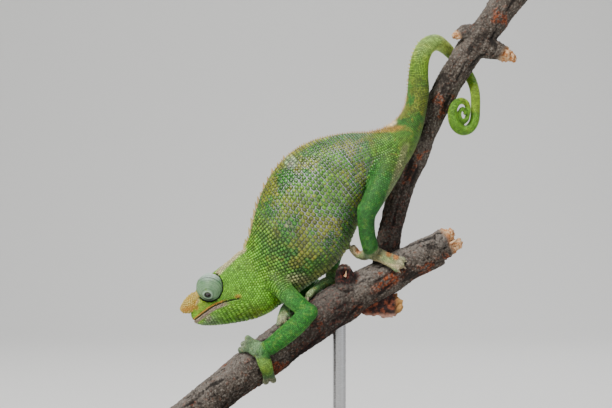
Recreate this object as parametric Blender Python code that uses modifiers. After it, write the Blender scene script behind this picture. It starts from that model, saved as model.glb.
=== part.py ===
"""A life-size still model of a Fischer's chameleon, climbing head down along a forked branch.

The branch is the perch that the animal grips, and a plain base with one rod holds it up.
Sizes are in millimetres. X runs from the snout to the tail, Y away from the viewer, Z up.
The origin is the middle of the base's underside. The animal's left side faces -Y.
"""

import math

import bmesh
import bpy
import numpy as np
from mathutils import Matrix, Vector

MM = 0.001
GAP = 0.3

# Body: the back line, the belly line and the half width, from the nape to the tail's root
TRUNK = (
    (-41.6, 100.6, -26.2, 73.9, 8.3),
    (-39.4, 105.9, -21.3, 77.2, 9.0),
    (-37.6, 112.8, -15.6, 81.2, 10.3),
    (-35.3, 121.1, -9.2, 85.6, 12.0),
    (-32.1, 129.3, -2.3, 90.8, 13.3),
    (-27.0, 137.8, 5.0, 99.3, 13.8),
    (-19.7, 144.9, 9.6, 109.2, 13.0),
    (-11.5, 149.5, 13.7, 117.9, 11.6),
    (-2.3, 152.2, 19.2, 125.2, 10.0),
    (7.3, 153.6, 25.2, 131.6, 8.6),
    (16.5, 154.3, 30.7, 136.6, 7.6),
    (22.9, 156.3, 34.8, 142.1, 7.0),
    (27.9, 159.8, 38.5, 149.9, 6.3),
    (31.6, 165.3, 41.2, 159.5, 5.6),
    (33.0, 172.4, 43.3, 171.9, 5.2),
)
TRUNK_SIDES = 22
TRUNK_ROWS = 41
NECK_ROWS = 7
BODY_KEEL = 1.25

# Tail: centre and radius, from the body over the stem to where the coil starts
TAIL = (
    (38.1, 0.0, 172.2, 5.15),
    (38.3, 0.3, 181.5, 4.6),
    (39.4, 1.2, 188.4, 4.35),
    (42.1, 3.2, 193.4, 4.2),
    (46.3, 6.4, 195.6, 3.95),
    (50.6, 10.4, 194.1, 3.3),
    (54.7, 14.2, 190.7, 2.8),
    (59.4, 16.2, 185.9, 2.6),
    (63.2, 13.2, 179.7, 2.5),
    (64.9, 8.0, 172.4, 2.4),
)
COIL_CENTRE = (58.8, 3.0, 162.5)
# Distance of the tail's centre from the coil's centre, and the tail's radius, at each quarter turn
COIL_QUARTERS = (
    (7.5, 2.4),
    (7.8, 2.4),
    (6.4, 2.25),
    (5.8, 1.6),
    (3.0, 1.0),
    (3.5, 1.25),
    (2.15, 0.9),
    (2.2, 0.85),
    (0.9, 0.6),
)
COIL_TURN = math.radians(35.0)
TAIL_SIDES = 10
TAIL_ROWS = 26
COIL_ROWS = 34
TAIL_BASE_ROWS = 8

# Head: distance from the lips, crown, crest half width, cheek half width, mouth line and chin
HEAD_ORIGIN = (-65.0, 67.5)
HEAD_TILT = math.radians(30.0)
HEAD = (
    (0.4, 2.6, 0.9, 1.5, 0.0, -1.7),
    (3.0, 7.0, 2.2, 3.7, 0.3, -4.4),
    (7.0, 9.4, 3.2, 5.2, 0.8, -6.7),
    (11.0, 11.0, 3.9, 6.3, 1.2, -8.6),
    (15.0, 12.2, 4.4, 7.1, 0.9, -10.2),
    (19.5, 13.4, 4.9, 7.9, -0.1, -11.8),
    (24.5, 14.8, 4.6, 8.5, -1.7, -13.4),
    (29.5, 16.0, 3.4, 8.8, -3.0, -14.3),
    (34.0, 17.0, 2.2, 8.7, -3.4, -14.4),
    (36.8, 17.0, 1.5, 8.4, -3.4, -13.9),
)
HEAD_ROWS = 24
CREST_RISE = 0.7
MOUTH_CORNER = 24.0
MOUTH_DEPTH = 0.6
LIP_HEIGHT = 0.9
NOSTRIL = (4.6, 4.6, 3.9)
NOSTRIL_RADIUS = 0.45
EYE = (14.7, 9.6, 4.6)
EYE_RADIUS = 6.3
EYE_INNER_FACE = 1.6
GAZE = (-0.11, 0.82, -0.55)
PUPIL_RADIUS = 1.6
PUPIL_DEPTH = 1.8
# Horn: distance from the lips, height, half width out from the middle, half height, half thickness
HORN = (
    (8.6, 9.6, 3.0, 1.5, 1.0),
    (4.6, 8.3, 2.6, 2.6, 1.4),
    (1.5, 6.8, 2.4, 3.0, 1.5),
    (-0.8, 7.1, 2.2, 2.1, 1.2),
    (-2.1, 7.8, 2.1, 0.9, 0.7),
)

# Legs: centre and radius along each; the right side of the animal is at +Y
LEFT_UPPER_ARM = ((-29.5, -3.0, 88.5, 5.4), (-26.0, -8.0, 84.8, 5.0), (-19.2, -12.4, 78.0, 4.3),
                  (-12.4, -15.6, 72.3, 4.0))
LEFT_FOREARM = ((-11.6, -16.0, 72.6, 3.9), (-16.5, -15.6, 67.6, 4.4), (-23.5, -14.8, 61.4, 4.3),
                (-30.4, -13.6, 56.0, 3.8))
RIGHT_UPPER_ARM = ((-29.5, 3.0, 88.5, 5.4), (-25.5, 8.0, 85.8, 5.0), (-17.5, 13.6, 84.0, 4.3),
                   (-9.6, 16.8, 82.3, 4.0))
RIGHT_FOREARM = ((-9.0, 17.0, 82.4, 3.9), (-12.4, 15.2, 79.8, 4.2), (-16.4, 12.0, 76.0, 3.9),
                 (-19.4, 8.6, 73.2, 3.4))
LEFT_THIGH = ((26.5, -1.5, 142.5, 7.0), (23.6, -6.5, 135.8, 6.6), (18.2, -11.2, 125.2, 5.2),
              (14.2, -13.6, 117.6, 4.5))
LEFT_SHANK = ((14.0, -13.6, 118.4, 4.5), (13.8, -13.2, 112.5, 4.0), (14.4, -11.6, 106.6, 3.9),
              (15.8, -9.6, 101.6, 3.9))
RIGHT_THIGH = ((25.5, 1.5, 142.0, 6.6), (20.0, 8.0, 135.5, 6.0), (12.5, 12.8, 127.2, 5.2),
               (7.6, 15.2, 121.0, 4.5))
RIGHT_SHANK = ((7.4, 15.2, 121.6, 4.5), (4.6, 14.6, 112.0, 4.0), (1.2, 12.2, 101.4, 3.9),
               (-1.2, 9.4, 93.2, 3.5))
LEG_SIDES = 12
LEG_ROWS = 9

# Feet: each bundle of toes is laid round the branch, as place along X, angle from the
# viewer's side over the top of the branch, and height of its middle above the bark
LEFT_HAND = {
    "sole": (-31.0, 20.0, 4.0, 3.4),
    "inner": ((-31.5, 24.0, 3.4), (-32.7, 41.0, 3.1), (-33.9, 57.0, 2.8), (-34.9, 72.0, 2.6)),
    "outer": ((-31.6, 12.0, 3.4), (-33.0, -14.0, 3.0), (-34.4, -38.0, 2.6), (-35.4, -58.0, 2.3)),
    "inner_toes": 3,
}
RIGHT_HAND = {
    "sole": (-14.0, 118.0, 3.4, 3.0),
    "inner": ((-14.2, 112.0, 3.0), (-15.6, 94.0, 2.8), (-16.8, 76.0, 2.6), (-17.8, 60.0, 2.2)),
    "outer": ((-13.8, 122.0, 3.2), (-12.6, 146.0, 3.0), (-11.2, 168.0, 2.6), (-10.2, 188.0, 2.2)),
    "inner_toes": 3,
}
RIGHT_FOOT = {
    "sole": (4.0, 125.0, 3.4, 3.2),
    "inner": ((3.2, 118.0, 3.0), (0.4, 105.0, 2.8), (-2.8, 93.0, 2.5), (-5.6, 84.0, 2.2)),
    "outer": ((4.2, 130.0, 3.2), (4.6, 152.0, 3.0), (5.0, 174.0, 2.6), (5.4, 194.0, 2.2)),
    "inner_toes": 2,
}
LEFT_FOOT = {
    "sole": (22.8, 86.0, 4.6, 3.6),
    "outer": ((23.0, 80.0, 4.2), (25.2, 58.0, 3.1), (27.8, 36.0, 2.6), (30.0, 16.0, 2.3)),
    "inner": ((21.6, 90.0, 4.6), (18.8, 96.0, 5.2), (17.8, 97.0, 6.8), (17.6, 96.0, 8.8)),
    "inner_toes": 2,
}
BUNDLE_WIDTH = 3.8
BUNDLE_THICKNESS = 2.8
TOE_RADIUS = 1.5
TOE_LENGTH = 3.6
CLAW_LENGTH = 1.5
CLAW_RADIUS = 0.5

# Crest: spines along the back line, as share of the back's length
CREST_SPINES = 34
CREST_START = 0.012
CREST_END = 0.93
CREST_LENGTH = 2.9
CREST_LOW = 0.9
CREST_FADE = 0.36
CREST_RADIUS = 0.75
CREST_LEAN = math.radians(24.0)
TAIL_SPINES = 9

# Perch: centre and radius of the branch, and of the stem that rises from its fork
BRANCH = (
    (-78.8, 0.0, 16.7, 7.3),
    (-65.5, 0.0, 25.4, 7.7),
    (-49.0, 0.0, 38.2, 8.6),
    (-32.5, 0.0, 50.3, 9.0),
    (-16.0, 0.0, 62.6, 9.4),
    (0.0, 0.0, 73.9, 9.2),
    (16.0, 0.0, 83.8, 8.7),
    (33.4, 0.0, 93.4, 8.0),
    (47.0, 0.0, 100.4, 7.1),
)
STEM = (
    (23.0, 5.0, 92.0, 5.8),
    (25.6, 7.8, 108.0, 5.5),
    (29.8, 9.8, 124.6, 5.5),
    (35.1, 10.8, 138.9, 5.7),
    (41.3, 10.8, 152.7, 5.7),
    (46.9, 9.8, 165.0, 5.8),
    (52.4, 8.4, 176.0, 5.8),
    (57.2, 7.0, 184.5, 6.1),
    (64.1, 5.8, 193.9, 6.6),
    (71.2, 4.8, 203.5, 6.6),
    (78.1, 4.0, 212.7, 6.9),
    (85.0, 3.2, 221.8, 7.0),
)
BRANCH_SIDES = 16
BRANCH_ROWS = 24
STEM_ROWS = 26
BARK_SWELL = 0.022
STUBS = {
    "branch": (((5.6, -4.6, 83.0, 4.9), (4.4, -5.6, 87.6, 4.7), (3.8, -6.2, 90.4, 3.6)),),
    "stem": (
        ((66.0, 4.0, 193.4, 5.2), (73.5, 2.4, 191.8, 4.7), (78.6, 1.9, 189.6, 3.2),
         (82.2, 1.6, 187.2, 1.3)),
        ((66.5, 4.0, 199.0, 3.6), (59.8, 2.4, 200.6, 3.0), (54.6, 1.6, 197.6, 1.2)),
    ),
}
BROKEN_END = (
    ((45.0, -0.5, 101.5, 4.6), (50.0, -0.5, 106.0, 4.0), (53.0, -0.5, 107.8, 2.2)),
    ((45.0, 1.0, 98.5, 4.8), (52.0, 1.2, 101.2, 4.2), (56.2, 1.4, 102.4, 2.4)),
)
BARK_FLAKE = ((12.0, -1.5, 73.6, 2.2), (17.0, -1.8, 73.4, 3.2), (22.0, -2.0, 74.2, 4.6), (26.0, -2.1, 75.0, 5.4),
              (29.0, -2.2, 74.2, 3.6), (30.8, -2.2, 73.4, 1.3))
BARK_FLAKE_THICKNESS = 1.4

# Stand
BASE_LENGTH = 150.0
BASE_WIDTH = 92.0
BASE_HEIGHT = 8.0
BASE_EDGE = 1.5
ROD_X = 2.0
ROD_RADIUS = 3.0
COLLAR_RADIUS = 7.0
COLLAR_HEIGHT = 4.0

COLOURS = {
    "skin": ((0.16, 0.33, 0.05), 0.6, 0.0),
    "horn": ((0.72, 0.58, 0.30), 0.5, 0.0),
    "eye": ((0.03, 0.025, 0.02), 0.15, 0.0),
    "bark": ((0.20, 0.17, 0.14), 0.9, 0.0),
    "stand": ((0.05, 0.05, 0.05), 0.5, 0.0),
    "rod": ((0.45, 0.45, 0.46), 0.35, 1.0),
}


def smooth(stations, rows):
    """Rows of a smooth curve through the stations, evenly spaced by the length of the first columns."""
    known = np.array(stations, float)
    steps = np.linalg.norm(np.diff(known[:, :2] if known.shape[1] > 4 else known[:, :3], axis=0), axis=1)
    at = np.concatenate([[0.0], np.cumsum(steps)])
    return smooth_at(at, known, np.linspace(0.0, at[-1], rows))


def smooth_at(at, known, wanted):
    """Values at the wanted places of a cubic curve through known values at the places in at."""
    slopes = np.gradient(known, at, axis=0)
    low = np.clip(np.searchsorted(at, wanted, side="right") - 1, 0, len(at) - 2)
    span = (at[low + 1] - at[low])[:, None]
    u = (wanted - at[low])[:, None] / span
    return (
        (2 * u**3 - 3 * u**2 + 1) * known[low]
        + (u**3 - 2 * u**2 + u) * span * slopes[low]
        + (3 * u**2 - 2 * u**3) * known[low + 1]
        + (u**3 - u**2) * span * slopes[low + 1]
    )


def unit(vector):
    return vector / np.linalg.norm(vector, axis=-1, keepdims=True)


def material(slot):
    found = bpy.data.materials.get(slot)
    if found:
        return found
    colour, roughness, metallic = COLOURS[slot]
    made = bpy.data.materials.new(slot)
    made.use_nodes = True
    shader = made.node_tree.nodes["Principled BSDF"]
    shader.inputs["Base Color"].default_value = (*colour, 1.0)
    shader.inputs["Roughness"].default_value = roughness
    shader.inputs["Metallic"].default_value = metallic
    return made


def loft(name, rings):
    """A closed solid whose skin runs from ring to ring, with a flat face on each end."""
    shell = bmesh.new()
    rows = [[shell.verts.new(Vector(point) * MM) for point in ring] for ring in rings]
    sides = len(rows[0])
    for lower, upper in zip(rows, rows[1:]):
        for side in range(sides):
            after = (side + 1) % sides
            shell.faces.new((lower[side], lower[after], upper[after], upper[side]))
    shell.faces.new(rows[0][::-1])
    shell.faces.new(rows[-1])
    return finish(name, shell)


def finish(name, shell):
    """Makes an object of the mesh, with its faces pointing out."""
    bmesh.ops.recalc_face_normals(shell, faces=shell.faces)
    mesh = bpy.data.meshes.new(name)
    shell.to_mesh(mesh)
    shell.free()
    made = bpy.data.objects.new(name, mesh)
    bpy.context.scene.collection.objects.link(made)
    return made


def tube_rings(path, sides, flat=None, start_up=None):
    """Rings across a path of (x, y, z, radius). flat scales the ring's size across its up direction."""
    centres = path[:, :3]
    ahead = unit(np.gradient(centres, axis=0))
    up = np.array(start_up if start_up is not None else (-ahead[0][2], 0.0, ahead[0][0]))
    rings = []
    angles = np.linspace(0.0, 2 * math.pi, sides, endpoint=False)
    for row, (centre, direction) in enumerate(zip(centres, ahead)):
        up = unit(up - up.dot(direction) * direction)
        side = np.cross(direction, up)
        thick = path[row, 3] if flat is None else flat[row]
        rings.append(
            centre
            + np.outer(np.cos(angles) * thick, up)
            + np.outer(np.sin(angles) * path[row, 3], side)
        )
    return rings


def with_round_ends(path, start, end):
    """The path with two more, smaller rows at each end that is to be round."""
    rows = list(path)
    for wanted, index, step in ((start, 0, 1), (end, -1, -1)):
        if not wanted:
            continue
        tip = rows[index]
        outward = unit(tip[:3] - rows[index + step][:3])
        for reach, share in ((0.55, 0.84), (0.88, 0.48)):
            more = tip.copy()
            more[:3] = tip[:3] + outward * tip[3] * reach
            more[3:] = tip[3:] * share
            rows.insert(0 if index == 0 else len(rows), more)
    return np.array(rows)


def tube(name, stations, rows, sides, grow=0.0, ends=(False, False)):
    path = with_round_ends(smooth(stations, rows), *ends)
    path[:, 3] += grow
    return loft(name, tube_rings(path, sides))


def wood(name, stations, rows, grow=0.0):
    """A length of branch whose round section swells and dips along it, as bark does."""
    path = smooth(stations, rows)
    path[:, 3] += grow
    rings = []
    for row, ring in enumerate(tube_rings(path, BRANCH_SIDES)):
        turn = np.linspace(0.0, 2 * math.pi, BRANCH_SIDES, endpoint=False)
        along = row * 24.0 / rows
        swell = (
            np.sin(2 * turn + 0.9 * along)
            + np.sin(3 * turn - 1.7 * along + 1.0)
            + 0.8 * np.sin(1.3 * along + 2.0)
        )
        rings.append(path[row, :3] + (ring - path[row, :3]) * (1 + BARK_SWELL * swell)[:, None])
    return loft(name, rings)


def boolean(target, others, operation, solver="EXACT"):
    """Joins the other objects to the target, or cuts them from it, and removes them."""
    pieces = bpy.data.collections.new("pieces")
    bpy.context.scene.collection.children.link(pieces)
    for other in others:
        bpy.context.scene.collection.objects.unlink(other)
        pieces.objects.link(other)
    step = target.modifiers.new("Boolean", "BOOLEAN")
    step.operation = operation
    step.operand_type = "COLLECTION"
    step.collection = pieces
    step.solver = solver
    graph = bpy.context.evaluated_depsgraph_get()
    mesh = bpy.data.meshes.new_from_object(target.evaluated_get(graph))
    target.modifiers.clear()
    target.data = mesh
    for other in others:
        bpy.data.objects.remove(other)
    bpy.data.collections.remove(pieces)
    keep_largest(target)
    return target


def keep_largest(target):
    """Leaves only the closed surface with the most faces, so that no loose scrap stays."""
    shell = bmesh.new()
    shell.from_mesh(target.data)
    waiting = set(shell.verts)
    groups = []
    while waiting:
        group = set()
        edge = [waiting.pop()]
        while edge:
            vert = edge.pop()
            group.add(vert)
            for link in vert.link_edges:
                other = link.other_vert(vert)
                if other in waiting:
                    waiting.remove(other)
                    edge.append(other)
        groups.append(group)
    groups.sort(key=len)
    for group in groups[:-1]:
        bmesh.ops.delete(shell, geom=list(group), context="VERTS")
    shell.to_mesh(target.data)
    shell.free()


def trunk_rings(rows, grow=0.0):
    """Rings of the body between the back line and the belly line."""
    outline = smooth(TRUNK, rows)
    angles = np.linspace(0.0, 2 * math.pi, TRUNK_SIDES, endpoint=False)
    across = np.sign(np.sin(angles)) * np.abs(np.sin(angles)) ** BODY_KEEL
    rings = []
    for back_x, back_z, belly_x, belly_z, half in outline:
        back = np.array((back_x, 0.0, back_z))
        belly = np.array((belly_x, 0.0, belly_z))
        up = (back - belly) / 2
        up *= 1 + grow / np.linalg.norm(up)
        rings.append(
            (back + belly) / 2
            + np.outer(np.cos(angles), up)
            - np.outer(across * (half + grow), (0.0, 1.0, 0.0))
        )
    return rings


def shifted(ring, distance):
    """The ring moved along its own normal, to leave the gap between two nodes."""
    centre = ring.mean(axis=0)
    normal = unit(np.cross(ring[0] - centre, ring[len(ring) // 4] - centre))
    return ring + normal * distance


def part_of(name, rings, first, last):
    """A node made of the rings from first to last, with half the gap left at each inner end."""
    chosen = [ring.copy() for ring in rings[first : last + 1]]
    if first > 0:
        chosen[0] = chosen[0] + unit((chosen[1] - chosen[0]).mean(axis=0)) * GAP / 2
    if last < len(rings) - 1:
        chosen[-1] = chosen[-1] + unit((chosen[-2] - chosen[-1]).mean(axis=0)) * GAP / 2
    return loft(name, chosen)


def spine(base, direction, length, radius):
    """One soft cone of the crest, its root sunk into the skin."""
    root = base - direction * radius * 1.4
    path = np.array((
        (*root, radius),
        (*(base + direction * length * 0.45), radius * 0.6),
        (*(base + direction * length), radius * 0.12),
    ))
    return loft("spine", tube_rings(path, 5))


def crest(rings, first, last):
    """The spines that stand on the back line between two of the body's rings."""
    back = np.array([ring[0] for ring in rings])
    belly = np.array([ring[len(ring) // 2] for ring in rings])
    at = np.linspace(0.0, 1.0, len(rings))
    made = []
    for share in np.linspace(CREST_START, CREST_END, CREST_SPINES):
        row = share * (len(rings) - 1)
        if not first + 0.35 < row < last - 0.35:
            continue
        base = smooth_at(at, back, np.array([share]))[0]
        below = smooth_at(at, belly, np.array([share]))[0]
        along = smooth_at(at, back, np.array([share + 0.005]))[0] - base
        up = unit(base - below)
        lean = unit(up * math.cos(CREST_LEAN) + unit(along) * math.sin(CREST_LEAN))
        fade = max(0.0, 1.0 - share / CREST_FADE) ** 0.6
        length = CREST_LOW + (CREST_LENGTH - CREST_LOW) * fade
        made.append(spine(base, lean, length, CREST_RADIUS * (0.65 + 0.35 * fade)))
    return made


def build_trunk():
    rings = trunk_rings(TRUNK_ROWS)
    last = len(rings) - 1
    neck = part_of("neck", rings, 0, NECK_ROWS)
    boolean(neck, crest(rings, 0, NECK_ROWS), "UNION")
    torso = part_of("torso", rings, NECK_ROWS, last)
    boolean(torso, crest(rings, NECK_ROWS, last), "UNION")
    return neck, torso


def tail_path():
    """Centre and radius all along the tail: over the stem, then into the coil, turned a little away."""
    coil = []
    turns = np.arange(len(COIL_QUARTERS)) * math.pi / 2
    wanted = np.linspace(0.0, turns[-1], COIL_ROWS)
    for angle, (reach, radius) in zip(wanted, smooth_at(turns, np.array(COIL_QUARTERS), wanted)):
        coil.append((
            COIL_CENTRE[0] + reach * math.cos(angle) * math.cos(COIL_TURN),
            COIL_CENTRE[1] + reach * math.cos(angle) * math.sin(COIL_TURN) - 0.12 * angle,
            COIL_CENTRE[2] - reach * math.sin(angle),
            radius,
        ))
    lead = smooth(TAIL + (tuple(coil[0]), tuple(coil[2])), TAIL_ROWS)
    lead = lead[lead[:, 2] > coil[0][2] + 1.0]
    return np.array(list(lead) + coil)


def build_tail():
    path = tail_path()
    path[0, :3] += (0.0, 0.0, GAP)
    rings = tube_rings(path, TAIL_SIDES)
    arch_end = TAIL_ROWS - 8
    base = part_of("tail_base", rings, 0, TAIL_BASE_ROWS)
    spines = []
    for step in range(TAIL_SPINES):
        row = 1 + step * (TAIL_BASE_ROWS - 2) / (TAIL_SPINES - 1)
        low = int(row)
        mix = row - low
        outer = rings[low][0] * (1 - mix) + rings[low + 1][0] * mix
        centre = path[low, :3] * (1 - mix) + path[low + 1, :3] * mix
        spines.append(spine(outer, unit(outer - centre), CREST_LOW, CREST_RADIUS * 0.65))
    boolean(base, spines, "UNION")
    arch = part_of("tail_arch", rings, TAIL_BASE_ROWS, arch_end)
    coil = part_of("tail_coil", rings, arch_end, len(rings) - 1)
    return base, arch, coil


def head_place(back, up, side):
    """A point of the head's own frame, in the model's frame. side is positive to the right."""
    ahead, above = math.cos(HEAD_TILT), math.sin(HEAD_TILT)
    return np.array((
        HEAD_ORIGIN[0] + back * ahead - up * above,
        side,
        HEAD_ORIGIN[1] + back * above + up * ahead,
    ))


def head_half_section(back, crown, crest_half, cheek, mouth, chin, grow=0.0):
    """Half of a section of the head, from the crown down to the chin, as (half width, height)."""
    closing = min(1.0, max(0.0, (MOUTH_CORNER + 2.0 - back) / 3.0))
    depth = MOUTH_DEPTH * closing
    rise = CREST_RISE * math.sin(math.pi * min(1.0, back / 36.8))
    crest_v = crown + rise
    cheek_v = mouth + 0.36 * (crown - mouth)
    jaw_v = mouth - 0.42 * (mouth - chin)
    temple = (0.42 * crest_half + 0.62 * cheek, crown - 0.34 * (crown - cheek_v) - 0.3)
    upper_lip = min(LIP_HEIGHT, 0.5 * (cheek_v - mouth))
    lower_lip = min(LIP_HEIGHT, 0.5 * (mouth - jaw_v))
    half = [
        (0.0, crown),
        (crest_half * 0.55, crown + rise * 0.35),
        (crest_half, crest_v),
        (crest_half * 1.08, crest_v - rise - 0.5),
        temple,
        (0.5 * (temple[0] + cheek) + 0.25, 0.5 * (temple[1] + cheek_v)),
        (cheek, cheek_v),
        (cheek + 0.1, 0.5 * (cheek_v + mouth + upper_lip)),
        (cheek + 0.15, mouth + upper_lip),
        (cheek + 0.1 - depth, mouth),
        (cheek * 0.99, mouth - lower_lip),
        (cheek * 0.93, jaw_v),
        (cheek * 0.78, jaw_v - 0.5 * (jaw_v - chin)),
        (cheek * 0.45, chin + 0.1 * (mouth - chin)),
        (0.0, chin),
    ]
    return [(width + grow * (width > 0), height) for width, height in half]


def build_head():
    rings = []
    for row in smooth(HEAD, HEAD_ROWS):
        half = head_half_section(*row)
        left = [head_place(row[0], height, -width) for width, height in half]
        right = [head_place(row[0], height, width) for width, height in half[-2:0:-1]]
        rings.append(np.array(left + right))
    rings[-1] = rings[-1] - unit((rings[-1] - rings[-2]).mean(axis=0)) * GAP
    head = loft("head", rings)
    cutters = []
    for side in (-1, 1):
        cutters.append(turret("socket", side, EYE_RADIUS + GAP, EYE_INNER_FACE - GAP))
        pit = head_place(NOSTRIL[0], NOSTRIL[1], side * NOSTRIL[2])
        inward = head_place(NOSTRIL[0] + 1.0, NOSTRIL[1] + 0.2, side * (NOSTRIL[2] - 1.2))
        path = np.array([(*(pit * 2 - inward), NOSTRIL_RADIUS), (*inward, NOSTRIL_RADIUS)])
        cutters.append(loft("nostril", tube_rings(path, 8, start_up=(0.0, 0.0, 1.0))))
    return boolean(head, cutters, "DIFFERENCE")


def turret(name, side, radius, inner):
    """A ball of the eye turret's size, flat where it faces the middle of the head."""
    shell = bmesh.new()
    bmesh.ops.create_uvsphere(shell, u_segments=18, v_segments=12, radius=radius * MM)
    bmesh.ops.rotate(shell, verts=shell.verts, matrix=Matrix.Rotation(math.pi / 2, 3, "X"))
    centre = head_place(EYE[0], EYE[1], side * EYE[2])
    bmesh.ops.translate(shell, verts=shell.verts, vec=Vector(centre) * MM)
    cut = bmesh.ops.bisect_plane(
        shell,
        geom=shell.verts[:] + shell.edges[:] + shell.faces[:],
        plane_co=(0.0, side * inner * MM, 0.0),
        plane_no=(0.0, -side, 0.0),
        clear_outer=True,
    )
    rim = [item for item in cut["geom_cut"] if isinstance(item, bmesh.types.BMEdge)]
    bmesh.ops.contextual_create(shell, geom=rim)
    return finish(name, shell)


def build_eyes():
    """The two turrets of fused lids, each with the small hole that the eye looks through."""
    made = []
    for side, word in ((-1, "left"), (1, "right")):
        lids = turret(f"eye_turret_{word}", side, EYE_RADIUS, EYE_INNER_FACE)
        centre = head_place(EYE[0], EYE[1], side * EYE[2])
        gaze = unit(np.array((GAZE[0], side * GAZE[1], GAZE[2])))
        surface = centre + gaze * EYE_RADIUS
        path = np.array([
            (*(surface + gaze), PUPIL_RADIUS * 1.2),
            (*(surface - gaze * PUPIL_DEPTH), PUPIL_RADIUS),
        ])
        up = (0.0, 0.0, 1.0)
        boolean(lids, [loft("hole", tube_rings(path, 14, start_up=up))], "DIFFERENCE")
        ball = np.array([
            (*(surface - gaze * (PUPIL_DEPTH - GAP)), PUPIL_RADIUS - GAP),
            (*(surface - gaze * (PUPIL_DEPTH - 0.9)), PUPIL_RADIUS - GAP),
            (*(surface - gaze * (PUPIL_DEPTH - 1.35)), (PUPIL_RADIUS - GAP) * 0.72),
            (*(surface - gaze * (PUPIL_DEPTH - 1.55)), (PUPIL_RADIUS - GAP) * 0.3),
        ])
        made += [lids, loft(f"eyeball_{word}", tube_rings(ball, 14, start_up=up))]
    return made


def build_horns():
    """The two short horns on the snout."""
    made = []
    for side, word in ((-1, "left"), (1, "right")):
        rows = smooth(HORN, 9)
        path = np.array([(*head_place(row[0], row[1], side * row[2]), row[4]) for row in rows])
        made.append(loft(f"horn_{word}", tube_rings(path, 10, flat=rows[:, 3])))
        boolean(made[-1], [head_block(GAP)], "DIFFERENCE")
    return made


def head_block(grow):
    """The head without its eye sockets, a little larger, to cut what grows from it."""
    rings = []
    for row in smooth(HEAD, HEAD_ROWS):
        half = [(w + grow * min(1.0, w), h + grow * (1 if h > 0 else -1))
                for w, h in head_half_section(*row)]
        left = [head_place(row[0], height, -width) for width, height in half]
        right = [head_place(row[0], height, width) for width, height in half[-2:0:-1]]
        rings.append(np.array(left + right))
    rings[0] = rings[0] - unit((rings[1] - rings[0]).mean(axis=0)) * grow
    return loft("head_block", rings)


def body_block(grow):
    return loft("body_block", trunk_rings(TRUNK_ROWS, grow))


def build_leg(upper_name, upper, lower_name, lower):
    """The upper and the lower leg, round at the joint, cut face to face with what they meet."""
    thigh = tube(upper_name, upper, LEG_ROWS, LEG_SIDES, ends=(False, True))
    shin = tube(lower_name, lower, LEG_ROWS, LEG_SIDES, ends=(True, False))
    boolean(shin, [tube("joint", upper, LEG_ROWS, LEG_SIDES, GAP, (False, True))], "DIFFERENCE")
    for piece in (thigh, shin):
        cutters = [
            body_block(GAP),
            wood("branch_block", BRANCH, BRANCH_ROWS, GAP),
            wood("stem_block", STEM, STEM_ROWS, GAP),
        ]
        boolean(piece, cutters, "DIFFERENCE")
    return thigh, shin


def branch_at(x):
    """Centre, direction and radius of the branch where its centre line has this x."""
    known = np.array(BRANCH)
    rows = smooth(BRANCH, 200)
    row = np.array([np.interp(x, rows[:, 0], rows[:, column]) for column in range(4)])
    low = max(0, min(len(known) - 2, int(np.searchsorted(known[:, 0], x)) - 1))
    return row[:3], unit(known[low + 1, :3] - known[low, :3]), row[3]


def around(x, degrees, lift):
    """A point beside the branch: degrees run from the viewer's side over the top."""
    centre, ahead, radius = branch_at(x)
    over = np.array((-ahead[2], 0.0, ahead[0]))
    angle = math.radians(degrees)
    return centre + (radius + lift) * (math.cos(angle) * np.array((0.0, -1.0, 0.0))
                                       + math.sin(angle) * over)


def bundle(points, toes):
    """A bundle of toes, as its mitten, the toes that stand out of it, and their claws."""
    centres = np.array([around(*point) for point in points])
    path = np.array([(*centre, 1.0) for centre in centres])
    path = smooth(path, 7)
    share = np.linspace(0.0, 1.0, len(path))
    wide = BUNDLE_WIDTH * (1.0 - 0.08 * share) * (1.0 if toes == 3 else 0.95)
    thick = BUNDLE_THICKNESS * (1.0 - 0.16 * share)
    path[:, 3] = wide
    away = unit(centres[0] - branch_at(points[0][0])[0])
    made = [loft("mitten", tube_rings(path, 10, flat=thick, start_up=away))]
    ahead = unit(path[-1, :3] - path[-2, :3])
    up = unit(away - away.dot(ahead) * ahead)
    last = branch_at(points[-1][0])[0]
    up = unit(path[-1, :3] - last)
    up = unit(up - up.dot(ahead) * ahead)
    side = np.cross(ahead, up)
    for toe in range(toes):
        spread = (toe - (toes - 1) / 2) * (2.5 if toes == 3 else 2.9)
        root = path[-1, :3] - ahead * 1.8 + side * spread * 0.85
        out = unit(ahead + side * spread * 0.09 - up * 0.22)
        tip = root + out * (1.8 + TOE_LENGTH * 0.62)
        rows = np.array([
            (*root, TOE_RADIUS),
            (*(root * 0.4 + tip * 0.6), TOE_RADIUS * 1.04),
            (*tip, TOE_RADIUS * 0.92),
        ])
        made.append(loft("toe", tube_rings(with_round_ends(rows, False, True), 7, start_up=up)))
        claw_out = unit(out - up * 0.55)
        rows = np.array([
            (*tip, CLAW_RADIUS),
            (*(tip + claw_out * CLAW_LENGTH), CLAW_RADIUS * 0.9),
            (*(tip + claw_out * (CLAW_LENGTH + 1.1) - up * 0.3), 0.1),
        ])
        made.append(loft("claw", tube_rings(rows, 5, start_up=up)))
    return made


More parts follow.
